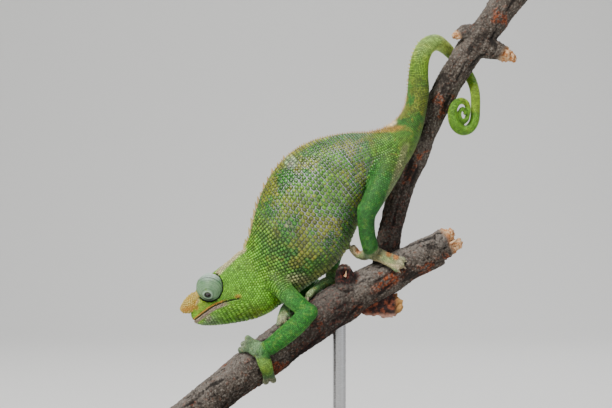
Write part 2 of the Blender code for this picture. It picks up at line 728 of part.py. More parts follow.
def build_foot(name, grip, shin):
    """A hand or foot: two bundles of toes that hold the branch like tongs."""
    x, degrees, lift, radius = grip["sole"]
    sole = around(x, degrees, lift)
    wrist = np.array(shin[-1])
    before = np.array(shin[-2])
    ahead = unit(wrist[:3] - before[:3])
    start = wrist[:3] + ahead * GAP
    rows = np.array([
        (*start, wrist[3]),
        (*(start * 0.5 + sole * 0.5), 0.5 * (wrist[3] + radius)),
        (*sole, radius),
    ])
    path = smooth(rows, 5)
    foot = loft(name, tube_rings(with_round_ends(path, False, True), 12))
    pieces = bundle(grip["inner"], grip["inner_toes"])
    pieces += bundle(grip["outer"], 5 - grip["inner_toes"])
    boolean(foot, pieces, "UNION")
    beyond = np.array([(*before[:3], wrist[3] + 2.5), (*start, wrist[3] + 2.5)])
    cutters = [
        wood("branch_block", BRANCH, BRANCH_ROWS, GAP),
        loft("shin_block", tube_rings(beyond, 12)),
        wood("stem_block", STEM, STEM_ROWS, GAP),
        body_block(GAP),
    ]
    return boolean(foot, cutters, "DIFFERENCE")


def build_perch():
    """The branch with its broken end, and the stem that rises from the fork behind the animal."""
    branch = wood("perch_branch", BRANCH, BRANCH_ROWS)
    pieces = [tube("stub", stub, 6, 10, ends=(False, True)) for stub in STUBS["branch"] + BROKEN_END]
    flake = smooth(BARK_FLAKE, 10)
    heights = flake[:, 3].copy()
    flake[:, 3] = BARK_FLAKE_THICKNESS
    pieces.append(loft("flake", tube_rings(flake, 8, flat=heights)))
    boolean(branch, pieces, "UNION")
    stem = wood("perch_stem", STEM, STEM_ROWS)
    boolean(stem, [tube("stub", stub, 6, 10, ends=(False, True)) for stub in STUBS["stem"]], "UNION")
    boolean(stem, [wood("branch_block", BRANCH, BRANCH_ROWS, GAP)], "DIFFERENCE")
    return branch, stem


def build_stand():
    shell = bmesh.new()
    bmesh.ops.create_cone(
        shell, cap_ends=True, segments=48, radius1=0.5, radius2=0.5, depth=BASE_HEIGHT * MM
    )
    bmesh.ops.scale(shell, verts=shell.verts, vec=(BASE_LENGTH * MM, BASE_WIDTH * MM, 1.0))
    bmesh.ops.translate(shell, verts=shell.verts, vec=(0.0, 0.0, BASE_HEIGHT * MM / 2))
    base = finish("stand_base", shell)
    edge = base.modifiers.new("Rounded edge", "BEVEL")
    edge.width = BASE_EDGE * MM
    edge.segments = 2
    edge.angle_limit = math.radians(50.0)
    centre, _, radius = branch_at(ROD_X)
    foot = BASE_HEIGHT + GAP
    profile = ((foot, COLLAR_RADIUS), (foot + COLLAR_HEIGHT, COLLAR_RADIUS * 0.72),
               (foot + COLLAR_HEIGHT + 0.6, ROD_RADIUS), (centre[2], ROD_RADIUS))
    path = np.array([(ROD_X, 0.0, height, reach) for height, reach in profile])
    rod = loft("stand_rod", tube_rings(path, 20, start_up=(1.0, 0.0, 0.0)))
    boolean(rod, [wood("branch_block", BRANCH, BRANCH_ROWS, GAP)], "DIFFERENCE")
    return base, rod


def main():
    for old in list(bpy.data.objects):
        bpy.data.objects.remove(old)
    made = {"skin": [], "horn": [], "eye": [], "bark": [], "stand": [], "rod": []}
    made["skin"] += [build_head(), *build_trunk(), *build_tail()]
    eyes = build_eyes()
    made["skin"] += eyes[0::2]
    made["eye"] += eyes[1::2]
    made["horn"] += build_horns()
    for side, arm, forearm, hand, thigh, shank, foot in (
        ("left", LEFT_UPPER_ARM, LEFT_FOREARM, LEFT_HAND, LEFT_THIGH, LEFT_SHANK, LEFT_FOOT),
        ("right", RIGHT_UPPER_ARM, RIGHT_FOREARM, RIGHT_HAND, RIGHT_THIGH, RIGHT_SHANK, RIGHT_FOOT),
    ):
        made["skin"] += build_leg(f"upper_arm_{side}", arm, f"forearm_{side}", forearm)
        made["skin"].append(build_foot(f"hand_{side}", hand, forearm))
        made["skin"] += build_leg(f"thigh_{side}", thigh, f"shank_{side}", shank)
        made["skin"].append(build_foot(f"foot_{side}", foot, shank))
    made["bark"] += build_perch()
    base, rod = build_stand()
    made["stand"].append(base)
    made["rod"].append(rod)
    model = bpy.data.collections.new("chameleon")
    bpy.context.scene.collection.children.link(model)
    for slot, objects in made.items():
        for item in objects:
            item.data.materials.clear()
            item.data.materials.append(material(slot))
            item.data.shade_smooth()
            item.data.set_sharp_from_angle(angle=math.radians(40.0))
            bpy.context.scene.collection.objects.unlink(item)
            model.objects.link(item)


main()
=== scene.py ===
"""A Fischer's chameleon, life size, climbing head down along a forked branch on a display stand.

Lengths in the making are millimetres, and meshes are in metres in the frame's own axes.
"""

import math

import bmesh
import bpy
import numpy as np
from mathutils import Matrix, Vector, noise
from mathutils.bvhtree import BVHTree
from mathutils.kdtree import KDTree


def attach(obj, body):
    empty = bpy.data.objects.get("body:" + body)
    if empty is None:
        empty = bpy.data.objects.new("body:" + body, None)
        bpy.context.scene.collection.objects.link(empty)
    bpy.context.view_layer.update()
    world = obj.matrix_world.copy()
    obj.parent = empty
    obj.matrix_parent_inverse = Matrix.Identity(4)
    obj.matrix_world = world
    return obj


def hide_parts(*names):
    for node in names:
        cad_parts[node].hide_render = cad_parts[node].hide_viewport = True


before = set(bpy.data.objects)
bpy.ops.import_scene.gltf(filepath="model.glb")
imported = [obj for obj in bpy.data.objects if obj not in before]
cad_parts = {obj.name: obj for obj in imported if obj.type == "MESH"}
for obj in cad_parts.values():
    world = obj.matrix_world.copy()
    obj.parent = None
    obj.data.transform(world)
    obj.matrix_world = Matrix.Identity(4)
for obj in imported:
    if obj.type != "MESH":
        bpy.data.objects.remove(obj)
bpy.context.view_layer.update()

MM = 0.001
# The skin lies this far under the scales; then the pitches of the even meshes
COAT_DEPTH = 0.25
SKIN_PITCH = 0.565
BARK_PITCH = 0.5
SIDES = {"left": -1, "right": 1}
LOOSE = np.random.default_rng(7)
noise.seed_set(5)

# Body: the back line, the belly line and the half width, from the nape to the tail's root
TRUNK = (
    (-41.6, 100.6, -26.2, 73.9, 8.3),
    (-39.4, 105.9, -21.3, 77.2, 9.0),
    (-37.6, 112.8, -15.6, 81.2, 10.3),
    (-35.3, 121.1, -9.2, 85.6, 12.0),
    (-32.1, 129.3, -2.3, 90.8, 13.3),
    (-27.0, 137.8, 5.0, 99.3, 13.8),
    (-19.7, 144.9, 9.6, 109.2, 13.0),
    (-11.5, 149.5, 13.7, 117.9, 11.6),
    (-2.3, 152.2, 19.2, 125.2, 10.0),
    (7.3, 153.6, 25.2, 131.6, 8.6),
    (16.5, 154.3, 30.7, 136.6, 7.6),
    (22.9, 156.3, 34.8, 142.1, 7.0),
    (27.9, 159.8, 38.5, 149.9, 6.3),
    (31.6, 165.3, 41.2, 159.5, 5.6),
    (33.0, 172.4, 43.3, 171.9, 5.2),
)
BODY_KEEL = 1.25

# Tail: centre and radius, from inside the body over the stem to where the coil starts
TAIL = (
    (37.4, 0.0, 166.5, 4.9),
    (38.1, 0.0, 172.2, 5.15),
    (38.3, 0.3, 181.5, 4.6),
    (39.4, 1.2, 188.4, 4.35),
    (42.1, 3.2, 193.4, 4.2),
    (46.3, 6.4, 195.6, 3.95),
    (50.6, 10.4, 194.1, 3.3),
    (54.7, 14.2, 190.7, 2.8),
    (59.4, 16.2, 185.9, 2.6),
    (63.2, 13.2, 179.7, 2.5),
    (64.9, 8.0, 172.4, 2.4),
)
COIL_CENTRE = (58.8, 3.0, 162.5)
# The coil at each quarter turn: reach from its centre, and radius
COIL_QUARTERS = (
    (7.5, 2.4),
    (7.8, 2.4),
    (6.4, 2.25),
    (5.8, 1.6),
    (3.0, 1.0),
    (3.5, 1.25),
    (2.15, 0.9),
    (2.2, 0.85),
    (0.9, 0.6),
)
COIL_TURN = math.radians(35.0)
COIL_DRIFT = 0.12

# Head: distance from the lips, crown, crest half width, cheek half width, mouth line and chin
HEAD_ORIGIN = (-65.0, 67.5)
HEAD_TILT = math.radians(30.0)
HEAD = (
    (0.4, 2.6, 0.9, 1.5, 0.0, -1.7),
    (3.0, 7.0, 2.2, 3.7, 0.3, -4.4),
    (7.0, 9.4, 3.2, 5.2, 0.8, -6.7),
    (11.0, 11.0, 3.9, 6.3, 1.2, -8.6),
    (15.0, 12.2, 4.4, 7.1, 0.9, -10.2),
    (19.5, 13.4, 4.9, 7.9, -0.1, -11.8),
    (24.5, 14.8, 4.6, 8.5, -1.7, -13.4),
    (29.5, 16.0, 3.4, 8.8, -3.0, -14.3),
    (34.0, 17.0, 2.2, 8.7, -3.4, -14.4),
    (36.8, 17.0, 1.5, 8.4, -3.4, -13.9),
)
CREST_RISE = 0.7
MOUTH_CORNER = 24.0
MOUTH_DEPTH = 0.6
LIP_HEIGHT = 0.9
NOSTRIL = (4.6, 4.6, 3.9)
# The ridge between the eyes: distance from the lips, height and half width
BROW = ((6.5, 8.6, 1.3), (10.0, 11.2, 1.9), (14.7, 12.7, 2.1), (19.0, 13.3, 2.5), (24.0, 14.0, 2.2))
BROW_HEIGHT = 1.5
# Eyes: distance of the centre from the lips, height and side
EYE = (14.7, 9.6, 4.6)
EYE_RADIUS = 6.3
EYE_INNER_FACE = 1.6
GAZE = (-0.11, 0.82, -0.55)
PUPIL_RADIUS = 1.6
BALL_RADIUS = 2.6
BALL_DEPTH = 3.0
# Folds of the eye turrets: angle from the pupil, depth and width
EYE_FOLDS = ((27.0, 0.10, 2.6), (38.0, 0.05, 2.2), (47.0, 0.07, 2.4), (57.0, 0.05, 2.2),
             (66.0, 0.10, 2.6), (80.0, 0.24, 3.4), (92.0, 0.10, 2.6))
# Horns: distance from the lips, height, side, half height and half width
HORN = (
    (8.6, 9.6, 3.0, 1.5, 1.0),
    (4.6, 8.3, 2.6, 2.6, 1.4),
    (1.5, 6.8, 2.4, 3.0, 1.5),
    (-0.8, 7.1, 2.2, 2.1, 1.2),
    (-2.1, 7.8, 2.1, 0.9, 0.7),
)

# Legs: centre and radius along each; the animal's right side is at +Y
LEGS = {
    "left": {
        "upper_arm": ((-29.5, -3.0, 88.5, 5.4), (-26.0, -8.0, 84.8, 5.0), (-19.2, -12.4, 78.0, 4.3),
                      (-12.4, -15.6, 72.3, 4.0)),
        "forearm": ((-11.6, -16.0, 72.6, 3.9), (-16.5, -15.6, 67.6, 4.4), (-23.5, -14.8, 61.4, 4.3),
                    (-30.4, -13.6, 56.0, 3.8)),
        "thigh": ((26.5, -1.5, 142.5, 7.0), (23.6, -6.5, 135.8, 6.6), (18.2, -11.2, 125.2, 5.2),
                  (14.2, -13.6, 117.6, 4.5)),
        "shank": ((14.0, -13.6, 118.4, 4.5), (13.8, -13.2, 112.5, 4.0), (14.4, -11.6, 106.6, 3.9),
                  (15.8, -9.6, 101.6, 3.9)),
    },
    "right": {
        "upper_arm": ((-29.5, 3.0, 88.5, 5.4), (-25.5, 8.0, 85.8, 5.0), (-17.5, 13.6, 84.0, 4.3),
                      (-9.6, 16.8, 82.3, 4.0)),
        "forearm": ((-9.0, 17.0, 82.4, 3.9), (-12.4, 15.2, 79.8, 4.2), (-16.4, 12.0, 76.0, 3.9),
                    (-19.4, 8.6, 73.2, 3.4)),
        "thigh": ((25.5, 1.5, 142.0, 6.6), (20.0, 8.0, 135.5, 6.0), (12.5, 12.8, 127.2, 5.2),
                  (7.6, 15.2, 121.0, 4.5)),
        "shank": ((7.4, 15.2, 121.6, 4.5), (4.6, 14.6, 112.0, 4.0), (1.2, 12.2, 101.4, 3.9),
                  (-1.2, 9.4, 93.2, 3.5)),
    },
}
# Feet: place along X, angle round the branch from the viewer's side over the top, height, size
FEET = {
    "hand_left": {
        "shin": ("left", "forearm"),
        "sole": (-31.0, 20.0, 4.0, 3.4),
        "inner": ((-31.5, 24.0, 3.4), (-32.7, 41.0, 3.1), (-33.9, 57.0, 2.8), (-34.9, 72.0, 2.6)),
        "outer": ((-31.6, 12.0, 3.4), (-33.0, -14.0, 3.0), (-34.4, -38.0, 2.6), (-35.4, -58.0, 2.3)),
        "inner_toes": 3,
    },
    "hand_right": {
        "shin": ("right", "forearm"),
        "sole": (-14.0, 118.0, 3.4, 3.0),
        "inner": ((-14.2, 112.0, 3.0), (-15.6, 94.0, 2.8), (-16.8, 76.0, 2.6), (-17.8, 60.0, 2.2)),
        "outer": ((-13.8, 122.0, 3.2), (-12.6, 146.0, 3.0), (-11.2, 168.0, 2.6), (-10.2, 188.0, 2.2)),
        "inner_toes": 3,
    },
    "foot_left": {
        "shin": ("left", "shank"),
        "sole": (22.8, 86.0, 4.6, 3.6),
        "outer": ((23.0, 80.0, 4.2), (25.2, 58.0, 3.1), (27.8, 36.0, 2.6), (30.0, 16.0, 2.3)),
        "inner": ((21.6, 90.0, 4.6), (18.8, 96.0, 5.2), (17.8, 97.0, 6.8), (17.6, 96.0, 8.8)),
        "inner_toes": 2,
    },
    "foot_right": {
        "shin": ("right", "shank"),
        "sole": (4.0, 125.0, 3.4, 3.2),
        "inner": ((3.2, 118.0, 3.0), (0.4, 105.0, 2.8), (-2.8, 93.0, 2.5), (-5.6, 84.0, 2.2)),
        "outer": ((4.2, 130.0, 3.2), (4.6, 152.0, 3.0), (5.0, 174.0, 2.6), (5.4, 194.0, 2.2)),
        "inner_toes": 2,
    },
}
BUNDLE_WIDTH = 3.8
BUNDLE_THICKNESS = 2.8
TOE_RADIUS = 1.58
TOE_LENGTH = 3.6
CLAW_LENGTH = 1.5
CLAW_RADIUS = 0.42

CREST_LOW = 0.8
CREST_PITCH = 1.15
CREST_LEAN = math.radians(24.0)
# The spines on the tail: from and to, and pitch
TAIL_SPINES = (6.5, 34.0, 1.5)
# The long spines: distance along the back from the nape, and length
LONG_SPINES = ((0.4, 2.0), (2.2, 2.3), (4.3, 1.5), (7.4, 2.6), (10.0, 1.4), (12.0, 2.7), (14.6, 1.6),
               (16.4, 2.5), (19.6, 2.6), (22.6, 2.3), (25.6, 1.5), (29.6, 2.1), (33.4, 1.4), (37.4, 1.9),
               (41.5, 1.3), (45.6, 1.5))

# Scales round the body and the head: distance along it, and how many there are from there on
BODY_COLUMNS = ((0.0, 60), (98.0, 46), (122.0, 40), (150.0, 32), (180.0, 26), (222.0, 18))
HEAD_COLUMNS = ((0.0, 98), (20.0, 88), (25.0, 76), (29.0, 66))

# Scales on the body: name, distance from and to, height, and how far the skin may lie from the rows
BODY_BANDS = (("torso", 0.0, 90.0, 0.42, 0.8), ("hip", 90.0, 114.0, 0.5, 0.8),
              ("tail", 114.0, 178.0, 0.6, 0.5), ("coil", 178.0, 300.0, 0.6, 0.5))
NECK_END = 0.165
SHOULDER_END = 0.42
GRANULE = 0.34
CLEARANCE = 0.72
TONE_LIMITS = (0.28, 0.85)
# Each scale's form: sides, how square it is, and the height and inset of each ring above its root
LOW, SOFT = ((0.55, 0.86),), ((0.35, 0.94), (0.86, 0.66))
SCALE_SHAPES = {
    "hip": (8, None, ((0.72, 0.84),)), "neck": (8, 2.0, SOFT), "shoulder": (8, 2.0, SOFT),
    "head": (6, 2.4, ((0.72, 0.82),)), "throat": (8, 2.2, SOFT), "lip": (8, 3.6, SOFT),
    "casque": (8, 2.0, LOW), "brow": (8, 2.0, LOW), "tail": (6, 3.0, LOW), "coil": (6, 3.0, LOW),
    "arm": (6, 2.4, LOW), "leg": (6, 2.4, LOW), "toe": (6, 2.4, LOW), "foot": (6, 2.4, LOW),
}
ROOT_DEPTH = -0.9
UV_PATCH = 0.0014

# Perch: centre and radius of the branch, and of the stem that rises from its fork
BRANCH = (
    (-78.8, 0.0, 16.7, 7.3),
    (-65.5, 0.0, 25.4, 7.7),
    (-49.0, 0.0, 38.2, 8.6),
    (-32.5, 0.0, 50.3, 9.0),
    (-16.0, 0.0, 62.6, 9.4),
    (0.0, 0.0, 73.9, 9.2),
    (16.0, 0.0, 83.8, 8.7),
    (33.4, 0.0, 93.4, 8.0),
    (47.0, 0.0, 100.4, 7.1),
)
STEM = (
    (23.0, 5.0, 92.0, 5.8),
    (25.6, 7.8, 108.0, 5.5),
    (29.8, 9.8, 124.6, 5.5),
    (35.1, 10.8, 138.9, 5.7),
    (41.3, 10.8, 152.7, 5.7),
    (46.9, 9.8, 165.0, 5.8),
    (52.4, 8.4, 176.0, 5.8),
    (57.2, 7.0, 184.5, 6.1),
    (64.1, 5.8, 193.9, 6.6),
    (71.2, 4.8, 203.5, 6.6),
    (78.1, 4.0, 212.7, 6.9),
    (85.0, 3.2, 221.8, 7.0),
)
BARK_SWELL = 0.022
STEM_LENGTH = 145.0
BRANCH_LENGTH = 150.0
# The hollow knot, and the middle of the rusty streak
KNOT = (4.2, -6.0, 89.0)
STREAK = (25.0, 0.0, 86.7)
# The loose flake: centre and half height
BARK_FLAKE = ((12.0, -1.5, 73.6, 2.2), (17.0, -1.8, 73.4, 3.2), (22.0, -2.0, 74.2, 4.6),
              (26.0, -2.1, 75.0, 5.4), (29.0, -2.2, 74.2, 3.6), (30.8, -2.2, 73.4, 1.3))
BARK_FLAKE_THICKNESS = 1.4
# Stubs of broken twigs: centre and radius
STUBS = (
    ((5.6, -4.6, 83.0, 4.9), (4.4, -5.6, 87.6, 4.7), (3.8, -6.2, 90.4, 3.6)),
    ((66.0, 4.0, 193.4, 5.2), (73.5, 2.4, 191.8, 4.7), (78.6, 1.9, 189.6, 3.2), (82.2, 1.6, 187.2, 1.3)),
    ((66.5, 4.0, 199.0, 3.6), (59.8, 2.4, 200.6, 3.0), (54.6, 1.6, 197.6, 1.2)),
    ((45.0, -0.5, 101.5, 4.6), (50.0, -0.5, 106.0, 4.0), (53.0, -0.5, 107.8, 2.2)),
    ((45.0, 1.0, 98.5, 4.8), (52.0, 1.2, 101.2, 4.2), (56.2, 1.4, 102.4, 2.4)),
)
# Where the wood is torn: a line along the broken end, places of the stubs' tips and their sizes
BROKEN_END = ((56.5, 1.4, 102.4), (53.2, -0.5, 108.4))
BROKEN_TIPS = (((81.5, 1.6, 187.6), 6.0), ((54.4, 1.6, 197.4), 3.4))
# Slivers: where they stand, which way, how far apart and how many
SPLINTERS = (
    ((54.5, 0.0, 104.5), (0.86, 0.0, 0.5), 4.4, 9),
    ((79.6, 1.8, 188.6), (0.83, -0.1, -0.55), 2.6, 12),
    ((55.4, 1.7, 198.0), (-0.85, -0.1, -0.5), 1.2, 5),
    ((4.6, -6.6, 91.0), (0.35, -0.2, 1.0), 2.4, 7),
)

# Colours of the markings
TORSO_GREEN = (0.024, 0.150, 0.010)
TORSO_OLIVE = (0.150, 0.180, 0.008)
TORSO_BRIGHT = (0.095, 0.26, 0.014)
LIMB_GREEN = (0.012, 0.205, 0.014)
LIMB_LIGHT = (0.060, 0.32, 0.045)
TAIL_LIME = (0.29, 0.49, 0.012)
HEAD_GREEN = (0.23, 0.50, 0.006)
CREAM = (0.70, 0.56, 0.34)
ORANGE = (0.66, 0.20, 0.03)
LILAC = (0.36, 0.21, 0.235)
FOOT_GREY = (0.31, 0.41, 0.27)
# The rusty spots of the left hind foot, along X and up
FOOT_SPOTS = ((24.3, 98.3), (27.5, 97.0), (10.8, 99.6))

# The stage, in metres; a light has a place, a size, a power and a colour
CAMERA_PLACE = (-0.0133, -0.7785, 0.1210)
FLOOR_FRONT = -1.6
FLOOR_BACK = 0.75
FLOOR_HALF_WIDTH = 3.0
WALL_TOP = 2.2
FLOOR_BEND = 0.35
LIGHTS_AIM = (0.0, 0.0, 0.11)
LIGHTS = (
    ("key", (-0.42, -0.62, 0.95), 0.32, 19.0, (1.0, 0.98, 0.94)),
    ("fill", (0.85, -0.8, 0.45), 0.9, 2.6, (0.92, 0.96, 1.0)),
    ("rim", (0.25, 0.6, 0.9), 0.5, 7.0, (1.0, 1.0, 1.0)),
)


def lengths_along(points):
    """Distance along a line of points, from its start to each of them."""
    return np.concatenate([[0.0], np.cumsum(np.linalg.norm(np.diff(points, axis=0), axis=1))])


def at_steps(wanted, steps, rows):
    """Rows read off at the wanted steps, column by column."""
    return np.stack([np.interp(wanted, steps, column) for column in rows.T], axis=-1)


def smooth(stations, rows):
    """Rows of a smooth curve through the stations, evenly spaced along it."""
    known = np.array(stations, float)
    at = lengths_along(known[:, :2] if known.shape[1] > 4 else known[:, :3])
    return smooth_at(at, known, np.linspace(0.0, at[-1], rows))


def smooth_at(at, known, wanted):
    """Values at the wanted places of a cubic curve through known values at the places in at."""
    slopes = np.gradient(known, at, axis=0)
    low = np.clip(np.searchsorted(at, wanted, side="right") - 1, 0, len(at) - 2)
    span = (at[low + 1] - at[low])[:, None]
    u = (wanted - at[low])[:, None] / span
    return (
        (2 * u**3 - 3 * u**2 + 1) * known[low]
        + (u**3 - 2 * u**2 + u) * span * slopes[low]
        + (3 * u**2 - 2 * u**3) * known[low + 1]
        + (u**3 - u**2) * span * slopes[low + 1]
    )


def unit(vector):
    return vector / np.maximum(np.linalg.norm(vector, axis=-1, keepdims=True), 1e-9)


def ease(value, low, high):
    """0 below low, 1 above high, and a soft step between."""
    share = np.clip((value - low) / (high - low), 0.0, 1.0)
    return share * share * (3 - 2 * share)


def fade(value, low, high):
    """1 below low, 0 above high, and a soft step between."""
    return 1 - ease(value, low, high)


def away_from(points, place):
    return np.linalg.norm(points - place, axis=1)


def tube_rings(path, sides, flat=None, start_up=None):
    """Rings across a path of (x, y, z, radius). flat is the ring's size in its up direction."""
    centres = path[:, :3]
    ahead = unit(np.gradient(centres, axis=0))
    up = np.array(start_up if start_up is not None else (-ahead[0][2], 0.0, ahead[0][0]))
    turn = np.linspace(0.0, 2 * math.pi, sides, endpoint=False)
    rings = []
    for row, (centre, direction) in enumerate(zip(centres, ahead)):
        up = unit(up - up.dot(direction) * direction)
        side = np.cross(direction, up)
        thick = path[row, 3] if flat is None else flat[row]
        rings.append(centre + np.outer(np.cos(turn) * thick, up)
                     + np.outer(np.sin(turn) * path[row, 3], side))
    return np.array(rings)


def with_round_ends(path, start, end):
    """The path with more, smaller rows at each end that is to be round."""
    rows = list(path)
    for wanted, index, step in ((start, 0, 1), (end, -1, -1)):
        if not wanted:
            continue
        tip = rows[index]
        outward = unit(tip[:3] - rows[index + step][:3])
        for angle in (25, 50, 70, 84):
            more = tip.copy()
            more[:3] = tip[:3] + outward * tip[3] * math.sin(math.radians(angle))
            more[3:] = tip[3:] * math.cos(math.radians(angle))
            rows.insert(0 if index == 0 else len(rows), more)
    return np.array(rows)


# Meshes

def draw_loft(shell, rings):
    """Draws a closed skin from ring to ring into the bmesh, by pulling out one ring's edges."""
    rings = np.asarray(rings) * MM
    first = bmesh.ops.create_circle(shell, cap_ends=True, segments=len(rings[0]), radius=MM)["verts"]
    edges = [edge for edge in shell.edges if edge.verts[0] in set(first) and edge.verts[1] in set(first)]
    for vert, place in zip(first, rings[0]):
        vert.co = place
    row = first
    for ring in rings[1:]:
        pulled = bmesh.ops.extrude_edge_only(shell, edges=edges)["geom"]
        fresh = {item for item in pulled if isinstance(item, bmesh.types.BMVert)}
        edges = [item for item in pulled if isinstance(item, bmesh.types.BMEdge)
                 and item.verts[0] in fresh and item.verts[1] in fresh]
        row = [next(edge.other_vert(vert) for edge in vert.link_edges if edge.other_vert(vert) in fresh)
               for vert in row]
        for vert, place in zip(row, ring):
            vert.co = place
    bmesh.ops.contextual_create(shell, geom=edges)


def mesh_of(name, shell, soft=True, closed=True):
    """The bmesh as a mesh, with the faces of a closed one pointing outward."""
    if closed:
        bmesh.ops.recalc_face_normals(shell, faces=shell.faces)
    mesh = bpy.data.meshes.new(name)
    shell.to_mesh(mesh)
    shell.free()
    if soft:
        mesh.shade_smooth()
    return mesh


def in_scene(name, data):
    thing = bpy.data.objects.new(name, data)
    bpy.context.scene.collection.objects.link(thing)
    return thing


def place_piece(name, mesh, material, replaced=()):
    """Makes the mesh a piece of the model, riding on the root body."""
    mesh.materials.clear()
    mesh.materials.append(material)
    piece = in_scene(name, mesh)
    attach(piece, "root")
    if replaced:
        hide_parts(*replaced)
    return piece


def vectors_of(mesh, kind):
    values = np.empty(len(mesh.vertices) * 3)
    mesh.vertices.foreach_get(kind, values)
    return values.reshape(-1, 3)


def points_of(mesh):
    return vectors_of(mesh, "co") / MM


def move_to(mesh, places):
    mesh.vertices.foreach_set("co", (places * MM).ravel())
    mesh.update()


def store(mesh, name, values):
    """Keeps one value, or three masks, for each vertex of the mesh."""
    if isinstance(values, np.ndarray):
        mesh.attributes.new(name, "FLOAT", "POINT").data.foreach_set("value", values)
    else:
        masks = np.stack([*values, np.ones(len(mesh.vertices))], axis=1)
        mesh.attributes.new(name, "FLOAT_COLOR", "POINT").data.foreach_set("color", masks.ravel())


def fuse(name, shell, pitch, rounds):
    """One even mesh over everything in the bmesh, smoothed where its parts meet."""
    rough = in_scene(name, mesh_of(name, shell, soft=False))
    step = rough.modifiers.new("Even mesh", "REMESH")
    step.mode = "VOXEL"
    step.voxel_size = pitch * MM
    step = rough.modifiers.new("Soft joins", "SMOOTH")
    step.factor = 0.5
    step.iterations = rounds
    even = bpy.data.meshes.new_from_object(rough.evaluated_get(bpy.context.evaluated_depsgraph_get()))
    bpy.data.objects.remove(rough)
    return even


def unwrap(mesh):
    """Unwraps the skin on a UV map of its own."""
    mesh.uv_layers.new(name="OFBake")
    holder = in_scene("unwrap", mesh)
    bpy.context.view_layer.objects.active = holder
    holder.select_set(True)
    bpy.ops.object.mode_set(mode="EDIT")
    bpy.ops.mesh.select_all(action="SELECT")
    bpy.ops.uv.smart_project(angle_limit=math.radians(66.0), island_margin=0.002)
    bpy.ops.object.mode_set(mode="OBJECT")
    bpy.data.objects.remove(holder)


# Shapes of the flesh, each as rings from its front to its back

def flank_fold(share, level):
    """Depth of the folds on the flank and the painted shade in their grooves, by the share of the body and
    belly to back level.
    """
    where = ease(share, 0.34, 0.5) * fade(share, 0.66, 0.76)
    where = where * ease(level, 0.05, 0.25) * fade(level, 0.62, 0.82)
    wave = np.cos(share * 145.0 + 2.2 * level)
    groove = ease(wave, 0.55, 0.98) * where * (0.72 + 0.28 * np.sin(share * 61.0 + 4.0 * level))
    return 0.16 * where - 0.62 * groove, groove


def trunk_rings(rows, sides, grow):
    """Rings of the body, with folds of skin across the flank in front of the thigh."""
    turn = np.linspace(0.0, 2 * math.pi, sides, endpoint=False)
    across = np.sign(np.sin(turn)) * np.abs(np.sin(turn)) ** BODY_KEEL
    rings = []
    for row, (back_x, back_z, belly_x, belly_z, half) in enumerate(smooth(TRUNK, rows)):
        back = np.array((back_x, 0.0, back_z))
        belly = np.array((belly_x, 0.0, belly_z))
        up = (back - belly) / 2
        up *= 1 + grow / np.linalg.norm(up)
        fold = flank_fold(np.full(sides, row / (rows - 1)), 0.5 + 0.5 * np.cos(turn))[0]
        rings.append((back + belly) / 2 + np.outer(np.cos(turn), up)
                     - np.outer(across * (half + grow + fold), (0.0, 1.0, 0.0)))
    return np.array(rings)


def tail_path(rows, coil_rows):
    """Centre and radius all along the tail: over the stem, then into the coil, turned a little away."""
    turns = np.arange(len(COIL_QUARTERS)) * math.pi / 2
    wanted = np.linspace(0.0, turns[-1], coil_rows)
    x, y, z = COIL_CENTRE
    coil = [(x + reach * math.cos(angle) * math.cos(COIL_TURN),
             y + reach * math.cos(angle) * math.sin(COIL_TURN) - COIL_DRIFT * angle,
             z - reach * math.sin(angle), radius)
            for angle, (reach, radius) in zip(wanted, smooth_at(turns, np.array(COIL_QUARTERS), wanted))]
    lead = smooth(TAIL + (tuple(coil[0]), tuple(coil[2])), rows)
    lead = lead[: int(np.argmin(away_from(lead[:, :3], np.array(coil[0][:3]))))]
    return np.array(list(lead[:-1]) + coil)


def head_place(back, up, side):
    """A point of the head's own frame, in the model's frame. side is positive to the right."""
    ahead, above = math.cos(HEAD_TILT), math.sin(HEAD_TILT)
    return np.array((HEAD_ORIGIN[0] + back * ahead - up * above, side,
                     HEAD_ORIGIN[1] + back * above + up * ahead))


def in_head(points):
    """Each point as distance back from the lips, height and side, in the head's own frame."""
    ahead, above = math.cos(HEAD_TILT), math.sin(HEAD_TILT)
    x = points[:, 0] - HEAD_ORIGIN[0]
    z = points[:, 2] - HEAD_ORIGIN[1]
    return x * ahead + z * above, -x * above + z * ahead, points[:, 1]


def head_half_section(back, crown, crest_half, cheek, mouth, chin):
    """Half of a section of the head, from the crown down to the chin, as (half width, height)."""
    depth = MOUTH_DEPTH * min(1.0, max(0.0, (MOUTH_CORNER + 2.0 - back) / 3.0))
    rise = CREST_RISE * math.sin(math.pi * min(1.0, back / HEAD[-1][0]))
    crest_v = crown + rise
    cheek_v = mouth + 0.36 * (crown - mouth)
    jaw_v = mouth - 0.42 * (mouth - chin)
    temple = (0.42 * crest_half + 0.62 * cheek, crown - 0.34 * (crown - cheek_v) - 0.3)
    upper_lip = min(LIP_HEIGHT, 0.5 * (cheek_v - mouth))
    lower_lip = min(LIP_HEIGHT, 0.5 * (mouth - jaw_v))
    return [
        (0.0, crown),
        (crest_half * 0.55, crown + rise * 0.35),
        (crest_half, crest_v),
        (crest_half * 1.08, crest_v - rise - 0.5),
        temple,
        (0.5 * (temple[0] + cheek) + 0.25, 0.5 * (temple[1] + cheek_v)),
        (cheek, cheek_v),
        (cheek + 0.1, 0.5 * (cheek_v + mouth + upper_lip)),
        (cheek + 0.15, mouth + upper_lip),
        (cheek + 0.1 - depth, mouth),
        (cheek * 0.99, mouth - lower_lip),
        (cheek * 0.93, jaw_v),
        (cheek * 0.78, jaw_v - 0.5 * (jaw_v - chin)),
        (cheek * 0.45, chin + 0.1 * (mouth - chin)),
        (0.0, chin),
    ]


